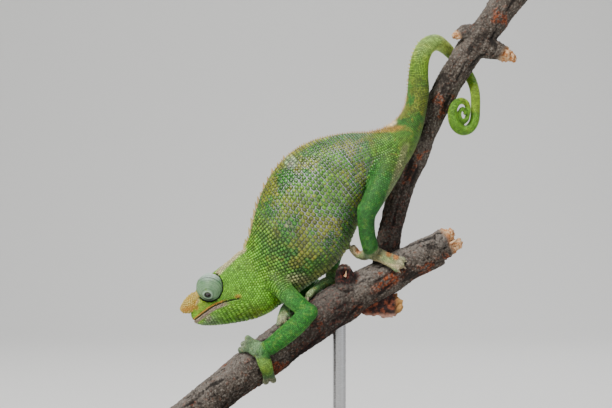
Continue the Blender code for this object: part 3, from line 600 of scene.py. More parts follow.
def head_rings(rows, grow):
    rings = []
    for row in smooth(HEAD, rows):
        half = [(max(0.0, width + grow) if width else 0.0, height + (grow if height > 0 else -grow))
                for width, height in head_half_section(*row)]
        left = [head_place(row[0], height, -width) for width, height in half]
        right = [head_place(row[0], height, width) for width, height in half[-2:0:-1]]
        rings.append(np.array(left + right))
    return np.array(rings)


def brow_rings(grow):
    """The ridge along the crown between the two eyes."""
    path = smooth([(*head_place(back, up, 0.0), wide) for back, up, wide in BROW], 30)
    path[:, 3] += grow
    high = np.column_stack([path[:, :3], np.full(len(path), BROW_HEIGHT + grow)])
    return tube_rings(with_round_ends(path, True, True), 28, flat=with_round_ends(high, True, True)[:, 3])


def branch_at(x):
    """Centre, direction and radius of the branch where its centre line has this x."""
    known = np.array(BRANCH)
    rows = smooth(BRANCH, 200)
    row = at_steps(x, rows[:, 0], rows)
    low = max(0, min(len(known) - 2, int(np.searchsorted(known[:, 0], x)) - 1))
    return row[:3], unit(known[low + 1, :3] - known[low, :3]), row[3]


def around(x, degrees, lift):
    """A point beside the branch: degrees run from the viewer's side over the top."""
    centre, ahead, radius = branch_at(x)
    over = np.array((-ahead[2], 0.0, ahead[0]))
    angle = math.radians(degrees)
    return centre + (radius + lift) * (math.cos(angle) * np.array((0.0, -1.0, 0.0))
                                       + math.sin(angle) * over)


def toe_bundle(points, toes, grow):
    """A bundle of toes: the rings of its mitten, of each toe and each claw, and the toes' lines."""
    path = smooth([(*around(*point), 1.0) for point in points], 26)
    share = np.linspace(0.0, 1.0, len(path))
    path[:, 3] = (BUNDLE_WIDTH - 0.8 * ease(share, 0.2, 0.8)) * (1.0 if toes == 3 else 0.88) + grow
    thick = BUNDLE_THICKNESS * (1.0 - 0.5 * ease(share, 0.15, 0.8)) + grow
    away = unit(path[0, :3] - branch_at(points[0][0])[0])
    mitten = tube_rings(path, 56, flat=thick, start_up=away)
    ahead = unit(path[-1, :3] - path[-2, :3])
    up = unit(path[-1, :3] - branch_at(points[-1][0])[0])
    up = unit(up - up.dot(ahead) * ahead)
    side = np.cross(ahead, up)
    digits, claws, lines = [], [], []
    for toe in range(toes):
        spread = (toe - (toes - 1) / 2) * (2.7 if toes == 3 else 3.0)
        middle = 1.0 if toes == 3 and toe == 1 else 0.7
        stations = []
        for at, out, size in ((0.36, 0.66, 0.9), (0.66, 0.86, 0.98), (0.92, 1.0, 0.96)):
            row = int(at * (len(path) - 1))
            aside = unit(mitten[row][14] - path[row, :3])
            outward = unit(mitten[row][0] - path[row, :3])
            place = path[row, :3] + aside * spread * out - outward * 0.35
            stations.append((*place, TOE_RADIUS * size + grow))
        out = unit(ahead + side * spread * 0.09 - up * 0.16)
        tip = np.array(stations[-1][:3]) + out * TOE_LENGTH * 0.7 * middle
        stations.append((*tip, TOE_RADIUS * 1.04 + grow))
        lines.append(smooth(stations, 18))
        digits.append(tube_rings(with_round_ends(lines[-1], False, True), 16, start_up=up))
        claw_out = unit(out - up * 0.45)
        rows = smooth([(*(tip + out * 0.8), CLAW_RADIUS * 1.2),
                       (*(tip + claw_out * (CLAW_LENGTH + 0.4)), CLAW_RADIUS),
                       (*(tip + claw_out * (CLAW_LENGTH + 1.3) - up * 0.4), 0.08)], 8)
        claws.append(tube_rings(rows, 10, start_up=up))
    return mitten[:20], digits, claws, lines


def flesh_shapes(grow):
    """Rings of each part of the flesh and of each claw, and the lines of the toes."""
    trunk = trunk_rings(110, 72, grow)
    front = trunk[0] - unit((trunk[6] - trunk[0]).mean(axis=0)) * 1.6
    front = front.mean(axis=0) + (front - front.mean(axis=0)) * 0.96
    shapes = {"trunk": np.concatenate([front[None], trunk]), "head": head_rings(60, grow),
              "brow": brow_rings(grow)}
    path = tail_path(70, 150)
    path[:, 3] += grow * ease(path[:, 3], 0.6, 2.2) + 0.12 * fade(path[:, 3], 0.8, 1.6)
    shapes["tail"] = tube_rings(with_round_ends(path, False, True), 28)
    for side, leg in LEGS.items():
        for name, stations in leg.items():
            lower = name in ("forearm", "shank")
            rows = smooth(stations, 26)
            rows[:, 3] += grow
            shapes[f"{name}_{side}"] = tube_rings(with_round_ends(rows, lower, not lower), 32)
    claws, toe_lines = [], []
    for name, foot in FEET.items():
        x, degrees, lift, radius = foot["sole"]
        sole = around(x, degrees, lift)
        before, wrist = (np.array(row) for row in LEGS[foot["shin"][0]][foot["shin"][1]][-2:])
        start = wrist[:3] - unit(wrist[:3] - before[:3]) * 1.5
        rows = smooth([(*start, wrist[3]), (*(start * 0.5 + sole * 0.5), 0.5 * (wrist[3] + radius)),
                       (*sole, radius)], 10)
        rows[:, 3] += grow
        shapes[f"{name}_sole"] = tube_rings(with_round_ends(rows, True, True), 28)
        for word, toes in (("inner", foot["inner_toes"]), ("outer", 5 - foot["inner_toes"])):
            shapes[f"{name}_{word}"], digits, nails, lines = toe_bundle(foot[word], toes, grow)
            for index, digit in enumerate(digits):
                shapes[f"{name}_{word}_toe{index}"] = digit
            claws += nails
            toe_lines += lines
    return shapes, claws, toe_lines


# Materials

class Look:
    """A material, or the node group in tree, with short names for what its shader is made of."""

    def __init__(self, name=None, tree=None, **sockets):
        if tree is None:
            self.material = bpy.data.materials.new(name)
            self.material.use_nodes = True
            tree = self.material.node_tree
            self.shader = tree.nodes["Principled BSDF"]
            for socket, value in sockets.items():
                self.shader.inputs[socket.replace("_", " ")].default_value = value
        self.tree = tree

    def add(self, kind, values=(), **settings):
        """A node with its settings and with values or links on its inputs."""
        node = self.tree.nodes.new(kind)
        for key, value in settings.items():
            setattr(node, key, value)
        for socket, value in dict(values).items():
            if isinstance(value, bpy.types.NodeSocket):
                self.tree.links.new(value, node.inputs[socket])
            else:
                node.inputs[socket].default_value = value
        return node

    def place(self):
        return self.add("ShaderNodeTexCoord").outputs["Object"]

    def axis(self, letter):
        return self.add("ShaderNodeSeparateXYZ", {"Vector": self.place()}).outputs[letter]

    def grain(self, scale, detail=4.0, roughness=0.6, stretch=None, **more):
        """Fractal noise over the model, or over the model stretched along its axes."""
        place = self.place()
        if stretch:
            place = self.add("ShaderNodeMapping", {"Vector": place, "Scale": stretch}).outputs["Vector"]
        values = {"Vector": place, "Scale": scale, "Detail": detail, "Roughness": roughness, **more}
        return self.add("ShaderNodeTexNoise", values).outputs["Fac"]

    def blend(self, share, first, second):
        first, second = (colour if isinstance(colour, bpy.types.NodeSocket) else (*colour, 1.0)
                         for colour in (first, second))
        return self.add("ShaderNodeMix", {0: share, 6: first, 7: second}, data_type="RGBA").outputs[2]

    def layers(self, colour, *rows):
        """Lays other colours over a colour, each by its share."""
        for share, over in rows:
            colour = self.blend(share, colour, over)
        return colour

    def band(self, value, low, high, to_low=0.0, to_high=1.0):
        """Maps a value from one range to another, with a soft step."""
        return self.add("ShaderNodeMapRange", {"Value": value, "From Min": low, "From Max": high,
                                               "To Min": to_low, "To Max": to_high},
                        interpolation_type="SMOOTHSTEP").outputs["Result"]

    def mottled(self, scale, low, high, first, second):
        """Two colours in patches of noise."""
        return self.blend(self.band(self.grain(scale), low, high), first, second)

    def plus(self, first, second, operation="ADD"):
        return self.add("ShaderNodeMath", {0: first, 1: second}, operation=operation).outputs[0]

    def times(self, first, second):
        return self.plus(first, second, "MULTIPLY")

    def value(self, attribute):
        return self.add("ShaderNodeAttribute", attribute_name=attribute).outputs["Fac"]

    def parted(self, attribute):
        """The three masks that one attribute of the mesh carries."""
        colour = self.add("ShaderNodeAttribute", attribute_name=attribute).outputs["Color"]
        split = self.add("ShaderNodeSeparateColor", {"Color": colour})
        return split.outputs["Red"], split.outputs["Green"], split.outputs["Blue"]

    def markings(self):
        shared = self.add("ShaderNodeGroup", node_tree=MARKINGS)
        return shared.outputs[0]

    def finish(self, colour, height=None, strength=0.0, distance=0.0, roughness=None):
        """Links the colour, a fine bump and a varied roughness, and gives the material."""
        self.tree.links.new(colour, self.shader.inputs["Base Color"])
        if roughness is not None:
            self.tree.links.new(roughness, self.shader.inputs["Roughness"])
        if height is not None:
            bump = self.add("ShaderNodeBump", {"Height": height, "Strength": strength, "Distance": distance})
            self.tree.links.new(bump.outputs["Normal"], self.shader.inputs["Normal"])
        return self.material


def markings_group():
    """The animal's colours, shared by its skin and its scales.

    where: limb, tail and head. mark: cream, orange and lilac, where the cream also paints the highlight on
    the tail's arch. level: belly to back, feet with the painted sheen on the flank, and lightness, which
    carries painted shade and highlights.
    """
    group = bpy.data.node_groups.new("markings", "ShaderNodeTree")
    group.interface.new_socket("Colour", in_out="OUTPUT", socket_type="NodeSocketColor")
    out = group.nodes.new("NodeGroupOutput")
    look = Look(tree=group)
    limb, tail, head = look.parted("where")
    cream, orange, lilac = look.parted("mark")
    back, foot, tone = look.parted("level")
    patches, broad, specks = look.grain(95.0, 3.0), look.grain(38.0, 2.0), look.grain(420.0, 2.0)
    band, blend, layers = look.band, look.blend, look.layers
    olive = band(patches, 0.46, 0.56)
    torso = layers(
        blend(olive, TORSO_GREEN, TORSO_OLIVE),
        (band(broad, 0.48, 0.62, 0.0, 0.75), TORSO_BRIGHT),
        (band(specks, 0.60, 0.68, 0.0, 0.5), (0.23, 0.15, 0.01)),
        (band(back, 0.92, 1.0, 0.0, 0.75), (0.36, 0.31, 0.03)),
        (band(back, 0.14, 0.0, 0.0, 0.65), (0.27, 0.26, 0.08)))
    heads = layers(blend(olive, HEAD_GREEN, (0.27, 0.42, 0.006)),
                   (band(broad, 0.42, 0.56, 0.0, 0.7), (0.10, 0.36, 0.012)))
    lime = blend(olive, TAIL_LIME, (0.16, 0.41, 0.012))
    limbs = layers(blend(band(broad, 0.42, 0.66), LIMB_GREEN, LIMB_LIGHT),
                   (band(specks, 0.52, 0.66, 0.0, 0.3), (0.22, 0.36, 0.02)))
    feet = layers(blend(olive, FOOT_GREY, (0.20, 0.46, 0.17)),
                  (band(specks, 0.58, 0.68, 0.0, 0.6), (0.42, 0.27, 0.05)))
    colour = layers(torso, (head, heads), (tail, lime), (limb, limbs), (look.times(foot, 0.9), feet),
                    (cream, CREAM), (orange, ORANGE), (lilac, LILAC))
    # The lightness scales the colour, so its painted shade and highlights darken and lighten it.
    bright = look.times(band(tone, 0.0, 1.0, 0.3, 1.55), band(specks, 0.3, 0.7, 0.8, 1.2))
    bright = look.add("ShaderNodeCombineXYZ", {axis: bright for axis in "XYZ"}).outputs[0]
    colour = look.add("ShaderNodeVectorMath", {0: colour, 1: bright}, operation="MULTIPLY").outputs[0]
    group.links.new(colour, out.inputs["Colour"])
    return group


MARKINGS = markings_group()


def skin_material():
    """The thin skin between the scales: lilac-grey on the flanks, and dark with painted shade at the neck and
    the tail, less on the limbs and the head.
    """
    look = Look("chameleon_skin", Roughness=0.62, Specular_IOR_Level=0.35)
    band = look.band
    limb, _, head = look.parted("where")
    tone = look.parted("level")[2]
    # gaps: painted shade between the scales; the last layer adds painted shade where the tone is low.
    gaps = band(look.plus(limb, look.times(head, 0.7)), 0.0, 0.8, 0.85, 0.5)
    pale = look.times(look.value("lines"), band(look.grain(60.0, 2.0), 0.34, 0.6, 0.45, 1.0))
    mixed = look.layers(look.markings(), (gaps, (0.022, 0.045, 0.008)), (pale, (0.47, 0.45, 0.50)),
                        (band(tone, 0.4, 0.0, 0.0, 0.9), (0.012, 0.018, 0.008)))
    return look.finish(mixed, look.grain(1600.0, 3.0), 0.35, 0.0002)


def scale_material():
    """Dry horny scales with a painted highlight on top; their roots are dark with painted shade, but
    lilac-grey on the flanks.
    """
    look = Look("chameleon_scales", Roughness=0.4, Specular_IOR_Level=0.5)
    band, times = look.band, look.times
    limb, tail, head = look.parted("where")
    back, _, tone = look.parted("level")
    rise = look.value("rise")
    flank = band(look.plus(look.plus(limb, tail), head), 0.0, 0.6, 1.0, 0.0)
    flank = times(flank, band(back, 0.74, 0.92, 1.0, 0.3))
    flank = times(flank, band(look.axis("X"), 0.006, 0.020, 1.0, 0.3))
    # root: painted shade at the scales' roots, but the skin's own lilac-grey on the flanks.
    root = look.blend(times(flank, 0.65), (0.03, 0.05, 0.012), (0.28, 0.28, 0.26))
    soft = times(band(rise, 0.75, 0.0, 0.0, 0.8), band(head, 0.3, 1.0, 1.0, 0.6))
    shade = look.layers(look.markings(), (soft, root),
                        # Painted shade where the tone is low, then a painted highlight on each scale's top.
                        (band(tone, 0.2, 0.0, 0.0, 0.8), (0.012, 0.018, 0.008)),
                        (band(rise, 0.88, 1.0, 0.0, 0.14), (0.70, 0.85, 0.35)))
    return look.finish(shade, look.grain(2600.0, 3.0), 0.25, 0.0001)


SKIN = skin_material()
SCALES = scale_material()


# Markings by place

TRUNK_ROWS = smooth(TRUNK, 60)
BRANCH_LINE = smooth(BRANCH, 60)
STEM_LINE = smooth(STEM, 60)
TAIL_LINE = tail_path(40, 40)
HEAD_ROWS = smooth(HEAD, 60)
EYE_CENTRES = {side: head_place(EYE[0], EYE[1], sign * EYE[2]) for side, sign in SIDES.items()}


def along_line(points, line, radii=None):
    """Distance of each point from a line of points, and the share of the line that it is beside."""
    best = np.full(len(points), 1e9)
    share = np.zeros(len(points))
    for index in range(len(line) - 1):
        start, step = line[index], line[index + 1] - line[index]
        at = np.clip((points - start) @ step / max(step @ step, 1e-9), 0.0, 1.0)
        reach = np.linalg.norm(points - start - at[:, None] * step, axis=1)
        if radii is not None:
            reach = reach - (radii[index] * (1 - at) + radii[index + 1] * at)
        nearer = reach < best
        best[nearer] = reach[nearer]
        share[nearer] = (index + at[nearer]) / (len(line) - 1)
    return best, share


def head_row(back):
    """Crown, crest half width, cheek half width and mouth line at each distance from the lips."""
    return (np.interp(back, HEAD_ROWS[:, 0], HEAD_ROWS[:, column]) for column in range(1, 5))


def trunk_lines():
    """The belly line and the back line of the body, as points."""
    flat = np.zeros(len(TRUNK_ROWS))
    return (np.stack([TRUNK_ROWS[:, 2], flat, TRUNK_ROWS[:, 3]], axis=1),
            np.stack([TRUNK_ROWS[:, 0], flat, TRUNK_ROWS[:, 1]], axis=1))


def place_masks(points):
    """The masks that the markings read, for each point of the skin."""
    x, y, z = points.T
    limb, foot, tips, tan = np.zeros((4, len(points)))
    for leg in LEGS.values():
        for name, stations in leg.items():
            rows = smooth(stations, 16)
            reach, share = along_line(points, rows[:, :3], rows[:, 3])
            root = {"upper_arm": ease(share, 0.2, 0.75), "thigh": ease(share, 0.08, 0.5)}.get(name, 1.0)
            limb = np.maximum(limb, fade(reach, 0.4, 1.8) * root)
    for name, grip in FEET.items():
        for word in ("inner", "outer"):
            line = smooth([(*around(*point), 1.0) for point in grip[word]], 10)[:, :3]
            reach, share = along_line(points, line)
            held = 0.25 if name == "hand_left" and word == "outer" else 0.6
            foot = np.maximum(foot, fade(reach, 3.4, 6.0) * (held + (1 - held) * ease(share, 0.5, 1.0)))
            light = {"foot_leftinner": 0.85, "hand_leftinner": 0.15}.get(name + word, 0.4)
            tips = np.maximum(tips, light * fade(away_from(points, line[-1]), 2.6, 4.6))
            if name == "foot_left":
                tan = np.maximum(tan, fade(reach, 3.4, 5.0) * ease(share, 0.0, 0.3))
    limb = np.maximum(limb, foot)
    # Painted shade that darkens the hind legs.
    hind_leg_shade = (1 - foot) * limb * ease(x, 8.0, 12.0)
    tail_reach, tail_share = along_line(points, TAIL_LINE[:, :3], TAIL_LINE[:, 3])
    near_tail = fade(tail_reach, 0.4, 2.0)
    tail = near_tail * ease(tail_share, 0.0, 0.17)
    back, up, side = in_head(points)
    side = np.abs(side)
    head = fade(back, 33.0, 50.0) * fade(limb, 0.2, 0.8)
    limb = limb * (1 - tail)

    lows, tops = trunk_lines()
    share = along_line(points, (lows + tops) / 2)[1]
    steps = np.linspace(0.0, 1.0, len(lows))
    low = at_steps(share, steps, lows)
    span = at_steps(share, steps, tops) - low
    level = np.clip(((points - low) * span).sum(axis=1) / (span * span).sum(axis=1), 0, 1)
    torso = (1 - tail) * (1 - head) * (1 - limb)
    # dark: painted shade in the grooves of the flank folds.
    dark = flank_fold(share, level)[1] * torso
    for other in (tail, head):
        level = level * (1 - other) + 0.6 * other

    def patch(mid_x, mid_z, inner, outer, long=1.0, tall=1.0):
        """1 round a place in side view, and 0 from the outer distance on."""
        return fade(np.hypot((x - mid_x) / long, (z - mid_z) / tall), inner, outer)

    crown, crest_half, _, mouth = head_row(back)
    below = mouth - up
    on_head = fade(back, 36.5, 38.5) * (side < 11)
    crest = fade(np.hypot(up - crown - 0.4, side - crest_half - 0.5), 1.3, 2.9)
    lips = on_head * fade(back, 15.5, 20.0)
    corner = np.hypot((back - 23.9) / 1.5, up - mouth - 1.1)
    chin = np.hypot(back - 7.0, below - 3.2)
    snout = on_head * fade(np.hypot((back - 4.5) / 1.5, up - 8.0), 1.6, 3.0) * fade(back, 7.0, 9.0)
    nostril = np.linalg.norm(np.stack([back - NOSTRIL[0], up - NOSTRIL[1], side - NOSTRIL[2]]), axis=0)
    # sheen: a painted highlight on the flank.
    sheen = patch(-20.4, 140.0, 1.4, 4.0) * (y < 0)
    blotch = patch(-20.6, 111.4, 0.6, 1.6) * (y < 0)
    hips = patch(16.0, 155.5, 0.6, 1.1, 18.0, 2.6)
    armpit = patch(-17.5, 87.0, 1.2, 3.6, 2.2)
    white = patch(25.0, 158.2, 1.2, 2.4, 1.7)
    rear_edge = (fade(np.abs(x - 29.5 - 0.35 * (z - 140.0)), 0.8, 2.2)
                 * ease(z, 118.0, 124.0) * fade(z, 146.0, 150.0))
    sole = fade(np.abs(z - 94.6 + 0.2 * (x - 18.0)), 0.5, 1.6) * ease(x, 16.0, 18.0)
    # Painted highlight on the top of the tail's arch, in cream and in the tone.
    arch_highlight = near_tail * ease(z, 184.0, 193.0)
    spots = np.min([np.hypot(x - spot_x, z - spot_z) for spot_x, spot_z in FOOT_SPOTS], axis=0)

    cream = np.max([
        0.85 * crest * on_head * ease(back, 7.0, 10.0), 0.75 * snout, 0.4 * armpit * torso, 0.9 * white,
        0.35 * rear_edge, tips, tan * (0.25 + 0.45 * sole), 0.22 * arch_highlight], axis=0)
    orange = np.max([
        0.7 * lips * ease(below, -1.2, -0.8) * fade(below, -0.2, 0.2),
        0.25 * lips * ease(below, 0.1, 0.4) * fade(below, 1.2, 2.0),
        0.65 * on_head * fade(corner, 0.4, 1.3), 0.35 * snout, 0.6 * fade(nostril, 0.8, 1.6),
        0.45 * hips * torso], axis=0)
    orange = np.maximum(orange * (1 - 0.9 * white), tan * (0.1 + 0.7 * fade(spots, 0.8, 1.9)))
    lilac = np.max([
        0.8 * lips * ease(below, 0.0, 0.4) * fade(below, 1.4, 2.4), 0.6 * on_head * fade(chin, 0.8, 2.2),
        0.25 * sheen, 0.8 * blotch], axis=0)
    # The foot mask also carries the painted sheen on the flank, in pale grey-green.
    foot = np.max([foot, 0.6 * on_head * fade(back, 5.0, 15.0) * ease(below, 2.0, 4.0), 0.85 * sheen], axis=0)
    # throat: painted shade on the throat under the head, taken off the tone.
    throat = on_head * fade(back, 26.0, 34.0) * ease(below, 2.0, 5.5)
    # lit is painted light on the upper flank and painted shade low on the flank; the tone darkens the fold
    # grooves, the throat and the hind legs as painted shade, and lightens the tail's arch, the sheen and the
    # upper flank as painted highlights.
    lit = ease(level, 0.55, 0.7) * fade(level, 0.85, 0.95) - 0.8 * fade(level, 0.12, 0.4)
    tone = (0.5 - 0.3 * dark + 0.18 * arch_highlight - 0.16 * throat - 0.17 * hind_leg_shade + 0.16 * sheen + 0.2 * white
            + 0.07 * lit * torso)
    return {"where": (limb, tail, head), "mark": (cream, orange, lilac), "level": (level, foot, tone)}


def carry_masks(mesh, masks, repeat=1, tone=None, rise=None):
    """Stores the masks on the mesh, each value standing for as many vertices in turn as repeat says."""
    for name, values in masks.items():
        columns = [np.repeat(value, repeat) for value in values]
        if name == "level" and tone is not None:
            columns[2] = np.clip(tone * columns[2] / 0.5, 0, 1)
        store(mesh, name, columns)
    if rise is not None:
        store(mesh, "rise", rise)


# The skin: every part of the flesh in one

def shape_toes(places, lines):
    """Draws the skin of the toes' free ends onto the round of each toe, with a crease between toes."""
    best = np.full(len(places), 1e9)
    target = places.copy()
    weight = np.zeros(len(places))
    for line in lines:
        near = np.flatnonzero(away_from(places, line[-1, :3]) < 9.0)
        reach, share = along_line(places[near], line[:, :3], line[:, 3])
        axis = at_steps(share, np.linspace(0.0, 1.0, len(line)), line)
        closer = reach < best[near]
        chosen = near[closer]
        best[chosen] = reach[closer]
        away = unit(places[chosen] - axis[closer, :3])
        target[chosen] = axis[closer, :3] + away * axis[closer, 3:]
        weight[chosen] = ease(share[closer], 0.45, 0.7) * fade(np.abs(reach[closer]), 0.9, 1.5)
    return places + (target - places) * weight[:, None]


def soften_limb_roots(mesh, places):
    """Smooths the skin again and again where the upper arms and the thighs leave the body."""
    pull = np.zeros(len(places))
    for leg in LEGS.values():
        for name, size in (("upper_arm", 1.75), ("thigh", 1.7)):
            *centre, radius = leg[name][1]
            pull = np.maximum(pull, fade(away_from(places, np.array(centre)), radius * 1.1, radius * size))
    ends = np.empty(len(mesh.edges) * 2, dtype=np.int32)
    mesh.edges.foreach_get("vertices", ends)
    one, two = ends.reshape(-1, 2).T
    links = np.bincount(ends, minlength=len(places))
    for _ in range(45):
        total = np.stack([np.bincount(one, places[two, axis], len(places))
                          + np.bincount(two, places[one, axis], len(places)) for axis in range(3)], axis=1)
        places += (total / links[:, None] - places) * pull[:, None] * 0.6


def make_skin():
    """One skin in place of every node of flesh."""
    shapes, claws, toe_lines = flesh_shapes(-COAT_DEPTH)
    shell = bmesh.new()
    for rings in shapes.values():
        draw_loft(shell, rings)
    mesh = fuse("skin", shell, SKIN_PITCH, 3)
    places = points_of(mesh)
    soften_limb_roots(mesh, places)
    places = shape_toes(places, toe_lines)
    move_to(mesh, places)
    sunk = np.zeros(len(places))
    for centre in EYE_CENTRES.values():
        reach = away_from(places, centre)
        sunk = np.maximum(sunk, 0.9 * fade(reach, EYE_RADIUS + 0.3, EYE_RADIUS + 1.1))
    sunk *= ease(np.abs(places[:, 1]), EYE_INNER_FACE, EYE_INNER_FACE + 0.5)
    back, up, _ = in_head(places)
    mouth = [*head_row(back)][3]
    crease = (back < MOUTH_CORNER) * fade(np.abs(up - mouth), 0.2, 0.7)
    sunk = np.maximum(sunk, 0.3 * crease)
    places -= vectors_of(mesh, "normal") * sunk[:, None]
    move_to(mesh, places)
    masks = place_masks(places)
    level, _, tone = masks["level"]
    # Painted shade in the sunk eye sockets and along the mouth's crease.
    tone[:] = tone * fade(sunk, 0.1, 0.4)
    carry_masks(mesh, masks)
    limb, tail, _ = masks["where"]
    share = along_line(places, sum(trunk_lines()) / 2)[1]
    lines = ease(share, 0.17, 0.34) * fade(share, 0.58, 0.76) * fade(limb, 0.0, 0.3) * (1 - tail)
    lines *= (0.4 + 0.6 * ease(level, 0.06, 0.3)) * (1 - 0.65 * ease(level, 0.76, 0.94))
    store(mesh, "lines", lines)
    unwrap(mesh)
    mesh.shade_smooth()
    flesh = ["head", "neck", "torso", "tail_base", "tail_arch", "tail_coil"]
    flesh += [f"{part}_{side}" for side in SIDES
              for part in ("upper_arm", "forearm", "hand", "thigh", "shank", "foot")]
    place_piece("skin", mesh, SKIN, flesh)
    return mesh, claws


class Ground:
    """The skin as something to set scales on: its nearest point, its direction and its unwrap."""

    def __init__(self, mesh):
        self.mesh = mesh
        self.tree = BVHTree.FromPolygons(
            [vert.co[:] for vert in mesh.vertices], [face.vertices[:] for face in mesh.polygons]
        )
        self.layer = mesh.uv_layers["OFBake"].data

    def nearest(self, point):
        place, normal, face, reach = self.tree.find_nearest(Vector(point) * MM)
        return np.array(place) / MM, np.array(normal), face, reach / MM

    def unwrapped(self, face):
        loops = self.mesh.polygons[face].loop_indices
        return np.mean([self.layer[loop].uv[:] for loop in loops], axis=0)


# Scales

def grid_of_roots(rings, columns, stretch, first=0.0, last=1.0, stagger=True, wide=0.0):
    """Places for scales in rows along a loft: point, direction ahead, spacing along and across, distance.

    columns is one number, or pairs of a distance and the number from there on. wide tells how much
    wider the scales on the sides are than those on the back and the belly.
    """
    steps = np.array(columns if np.ndim(columns) else ((0.0, columns),))
    rings = np.asarray(rings)
    at = lengths_along(rings.mean(axis=1))
    girth = np.linalg.norm(np.roll(rings, -1, axis=1) - rings, axis=2).sum(axis=1)
    found = []
    here = first * at[-1]
    row_number = 0
    while here < last * at[-1]:
        count = int(steps[np.searchsorted(steps[:, 0], here, side="right") - 1, 1])
        low = min(len(at) - 2, int(np.searchsorted(at, here, side="right")) - 1)
        mix = (here - at[low]) / max(1e-6, at[low + 1] - at[low])
        ring = rings[low] * (1 - mix) + rings[low + 1] * mix
        ahead = unit(rings[low + 1] - rings[low])
        across = (girth[low] * (1 - mix) + girth[low + 1] * mix) / count
        closed = np.concatenate([ring, ring[:1]])
        length = lengths_along(closed)
        shift = 0.5 if stagger and row_number % 2 else 0.0
        share = (np.arange(count) + shift) / count
        wanted = (share - wide * np.sin(4 * math.pi * share) / (4 * math.pi)) * length[-1]
        widths = across * (1 - wide * np.cos(4 * math.pi * share))
        point = at_steps(wanted, length, closed)
        toward = at_steps(wanted, length, np.concatenate([ahead, ahead[:1]]))
        along = across * stretch
        for spot, way, width in zip(point, toward, widths):
            found.append((*spot, *way, along, width, here))
        here += along
        row_number += 1
    return np.array(found)


def dome(sides, corner, steps=LOW):
    """One scale as points of unit size and its faces: a soft cushion, closed underneath.

    steps are the height and inset of each ring above the root. With no corner exponent the eight
    sides make a square tile with its corners cut.
    """
    shell = bmesh.new()
    ring = bmesh.ops.create_circle(shell, cap_ends=True, segments=sides, radius=1.0)["verts"]
    for vert in ring:
        if corner:
            reach = (abs(vert.co.x) ** corner + abs(vert.co.y) ** corner) ** (1 / corner)
            vert.co = Vector((vert.co.x / reach, vert.co.y / reach, ROOT_DEPTH))
        else:
            angle = math.atan2(vert.co.y, vert.co.x) + math.pi / 8
            x, y = math.cos(angle), math.sin(angle)
            wide, narrow = math.copysign(1.0, x), math.copysign(1.0, y)
            flat = (wide, 0.66 * narrow) if abs(x) > abs(y) else (0.66 * wide, narrow)
            vert.co = Vector((*flat, ROOT_DEPTH))
    lid = list(shell.faces)[0]
    for height, inset in steps:
        top = bmesh.ops.extrude_face_region(shell, geom=[lid])
        for vert in [item for item in top["geom"] if isinstance(item, bmesh.types.BMVert)]:
            vert.co = Vector((vert.co.x * inset, vert.co.y * inset, height))
        lid = next(item for item in top["geom"] if isinstance(item, bmesh.types.BMFace))
    middle = bmesh.ops.poke(shell, faces=[lid])["verts"][0]
    middle.co.z = 1.0
    bmesh.ops.recalc_face_normals(shell, faces=shell.faces)
    bmesh.ops.triangulate(shell, faces=[face for face in shell.faces if len(face.verts) > 4])
    shell.verts.index_update()
    points = np.array([vert.co[:] for vert in shell.verts])
    faces = [[vert.index for vert in face.verts] for face in shell.faces]
    shell.free()
    return points, faces


def scale_coat(name, roots, shape, material):
    """Joins copies of one scale, each on its root, turned and sized as the root says.

    A root is point, outward, ahead, half length, half width, height, lightness, u, v.
    """
    points, faces = shape
    count, each = len(roots), len(points)
    centre, outward, ahead = roots[:, 0:3], roots[:, 3:6], roots[:, 6:9]
    ahead = unit(ahead - (ahead * outward).sum(axis=1, keepdims=True) * outward)
    side = np.cross(outward, ahead)
    places = centre[:, None, :]
    for axis, (way, size) in enumerate(zip((ahead, side, outward), roots[:, 9:12].T)):
        places = places + points[None, :, axis, None] * (way * size[:, None])[:, None, :]
    places = places.reshape(-1, 3)
    corners = np.concatenate([np.array(face) for face in faces])
    all_corners = (corners[None, :] + (np.arange(count) * each)[:, None]).ravel()
    starts = np.cumsum([0] + [len(face) for face in faces] * count)[:-1]
    mesh = bpy.data.meshes.new(name)
    mesh.vertices.add(count * each)
    mesh.vertices.foreach_set("co", (places * MM).ravel())
    mesh.loops.add(len(all_corners))
    mesh.loops.foreach_set("vertex_index", all_corners.astype(np.int32))
    mesh.polygons.add(len(starts))
    mesh.polygons.foreach_set("loop_start", starts.astype(np.int32))
    mesh.update(calc_edges=True)
    layer = mesh.uv_layers.new(name="OFBake")
    spots = roots[:, None, 13:15] + points[None, corners, :2] * UV_PATCH
    layer.data.foreach_set("uv", spots.ravel())
    rise = np.tile(np.clip(points[:, 2], 0.0, 1.0), count)
    carry_masks(mesh, place_masks(centre), each, np.repeat(roots[:, 12], each), rise)
    mesh.shade_smooth()
    mesh.validate()
    return place_piece(name, mesh, material)


def settle(ground, places, size, height, tones, reach_limit=0.55, skip=None, slack=0.0):
    """Sets places of a grid on the skin, and leaves out those that lie under another part."""
    kept = []
    if skip is not None:
        places = places[~skip(places[:, :3])]
    for spot in places:
        start = spot[:3]
        if slack:
            start = start + LOOSE.normal(0.0, slack, 3) * spot[6]
        point, outward, face, reach = ground.nearest(start)
        if reach > reach_limit:
            continue
        grown = size * (1 + slack * float(LOOSE.normal(0.0, 0.9)))
        half_length = spot[6] * grown
        half_width = spot[7] * grown
        tall = height * min(half_length, half_width)
        kept.append((*point, *outward, *spot[3:6], half_length, half_width, tall,
                     float(np.clip(LOOSE.normal(0.5, tones), *TONE_LIMITS)), *ground.unwrapped(face)))
    return np.array(kept)


def inside_perch(points):
    """True where points lie under the bark, so that no scale is hidden in the wood."""
    reaches = [along_line(points, line[:, :3], line[:, 3])[0] for line in (BRANCH_LINE, STEM_LINE)]
    return np.minimum(*reaches) < -0.7


def near_eye(points, margin=0.1):
    reaches = [away_from(points, centre) for centre in EYE_CENTRES.values()]
    return (np.minimum(*reaches) < EYE_RADIUS + margin) & (np.abs(points[:, 1]) > EYE_INNER_FACE)


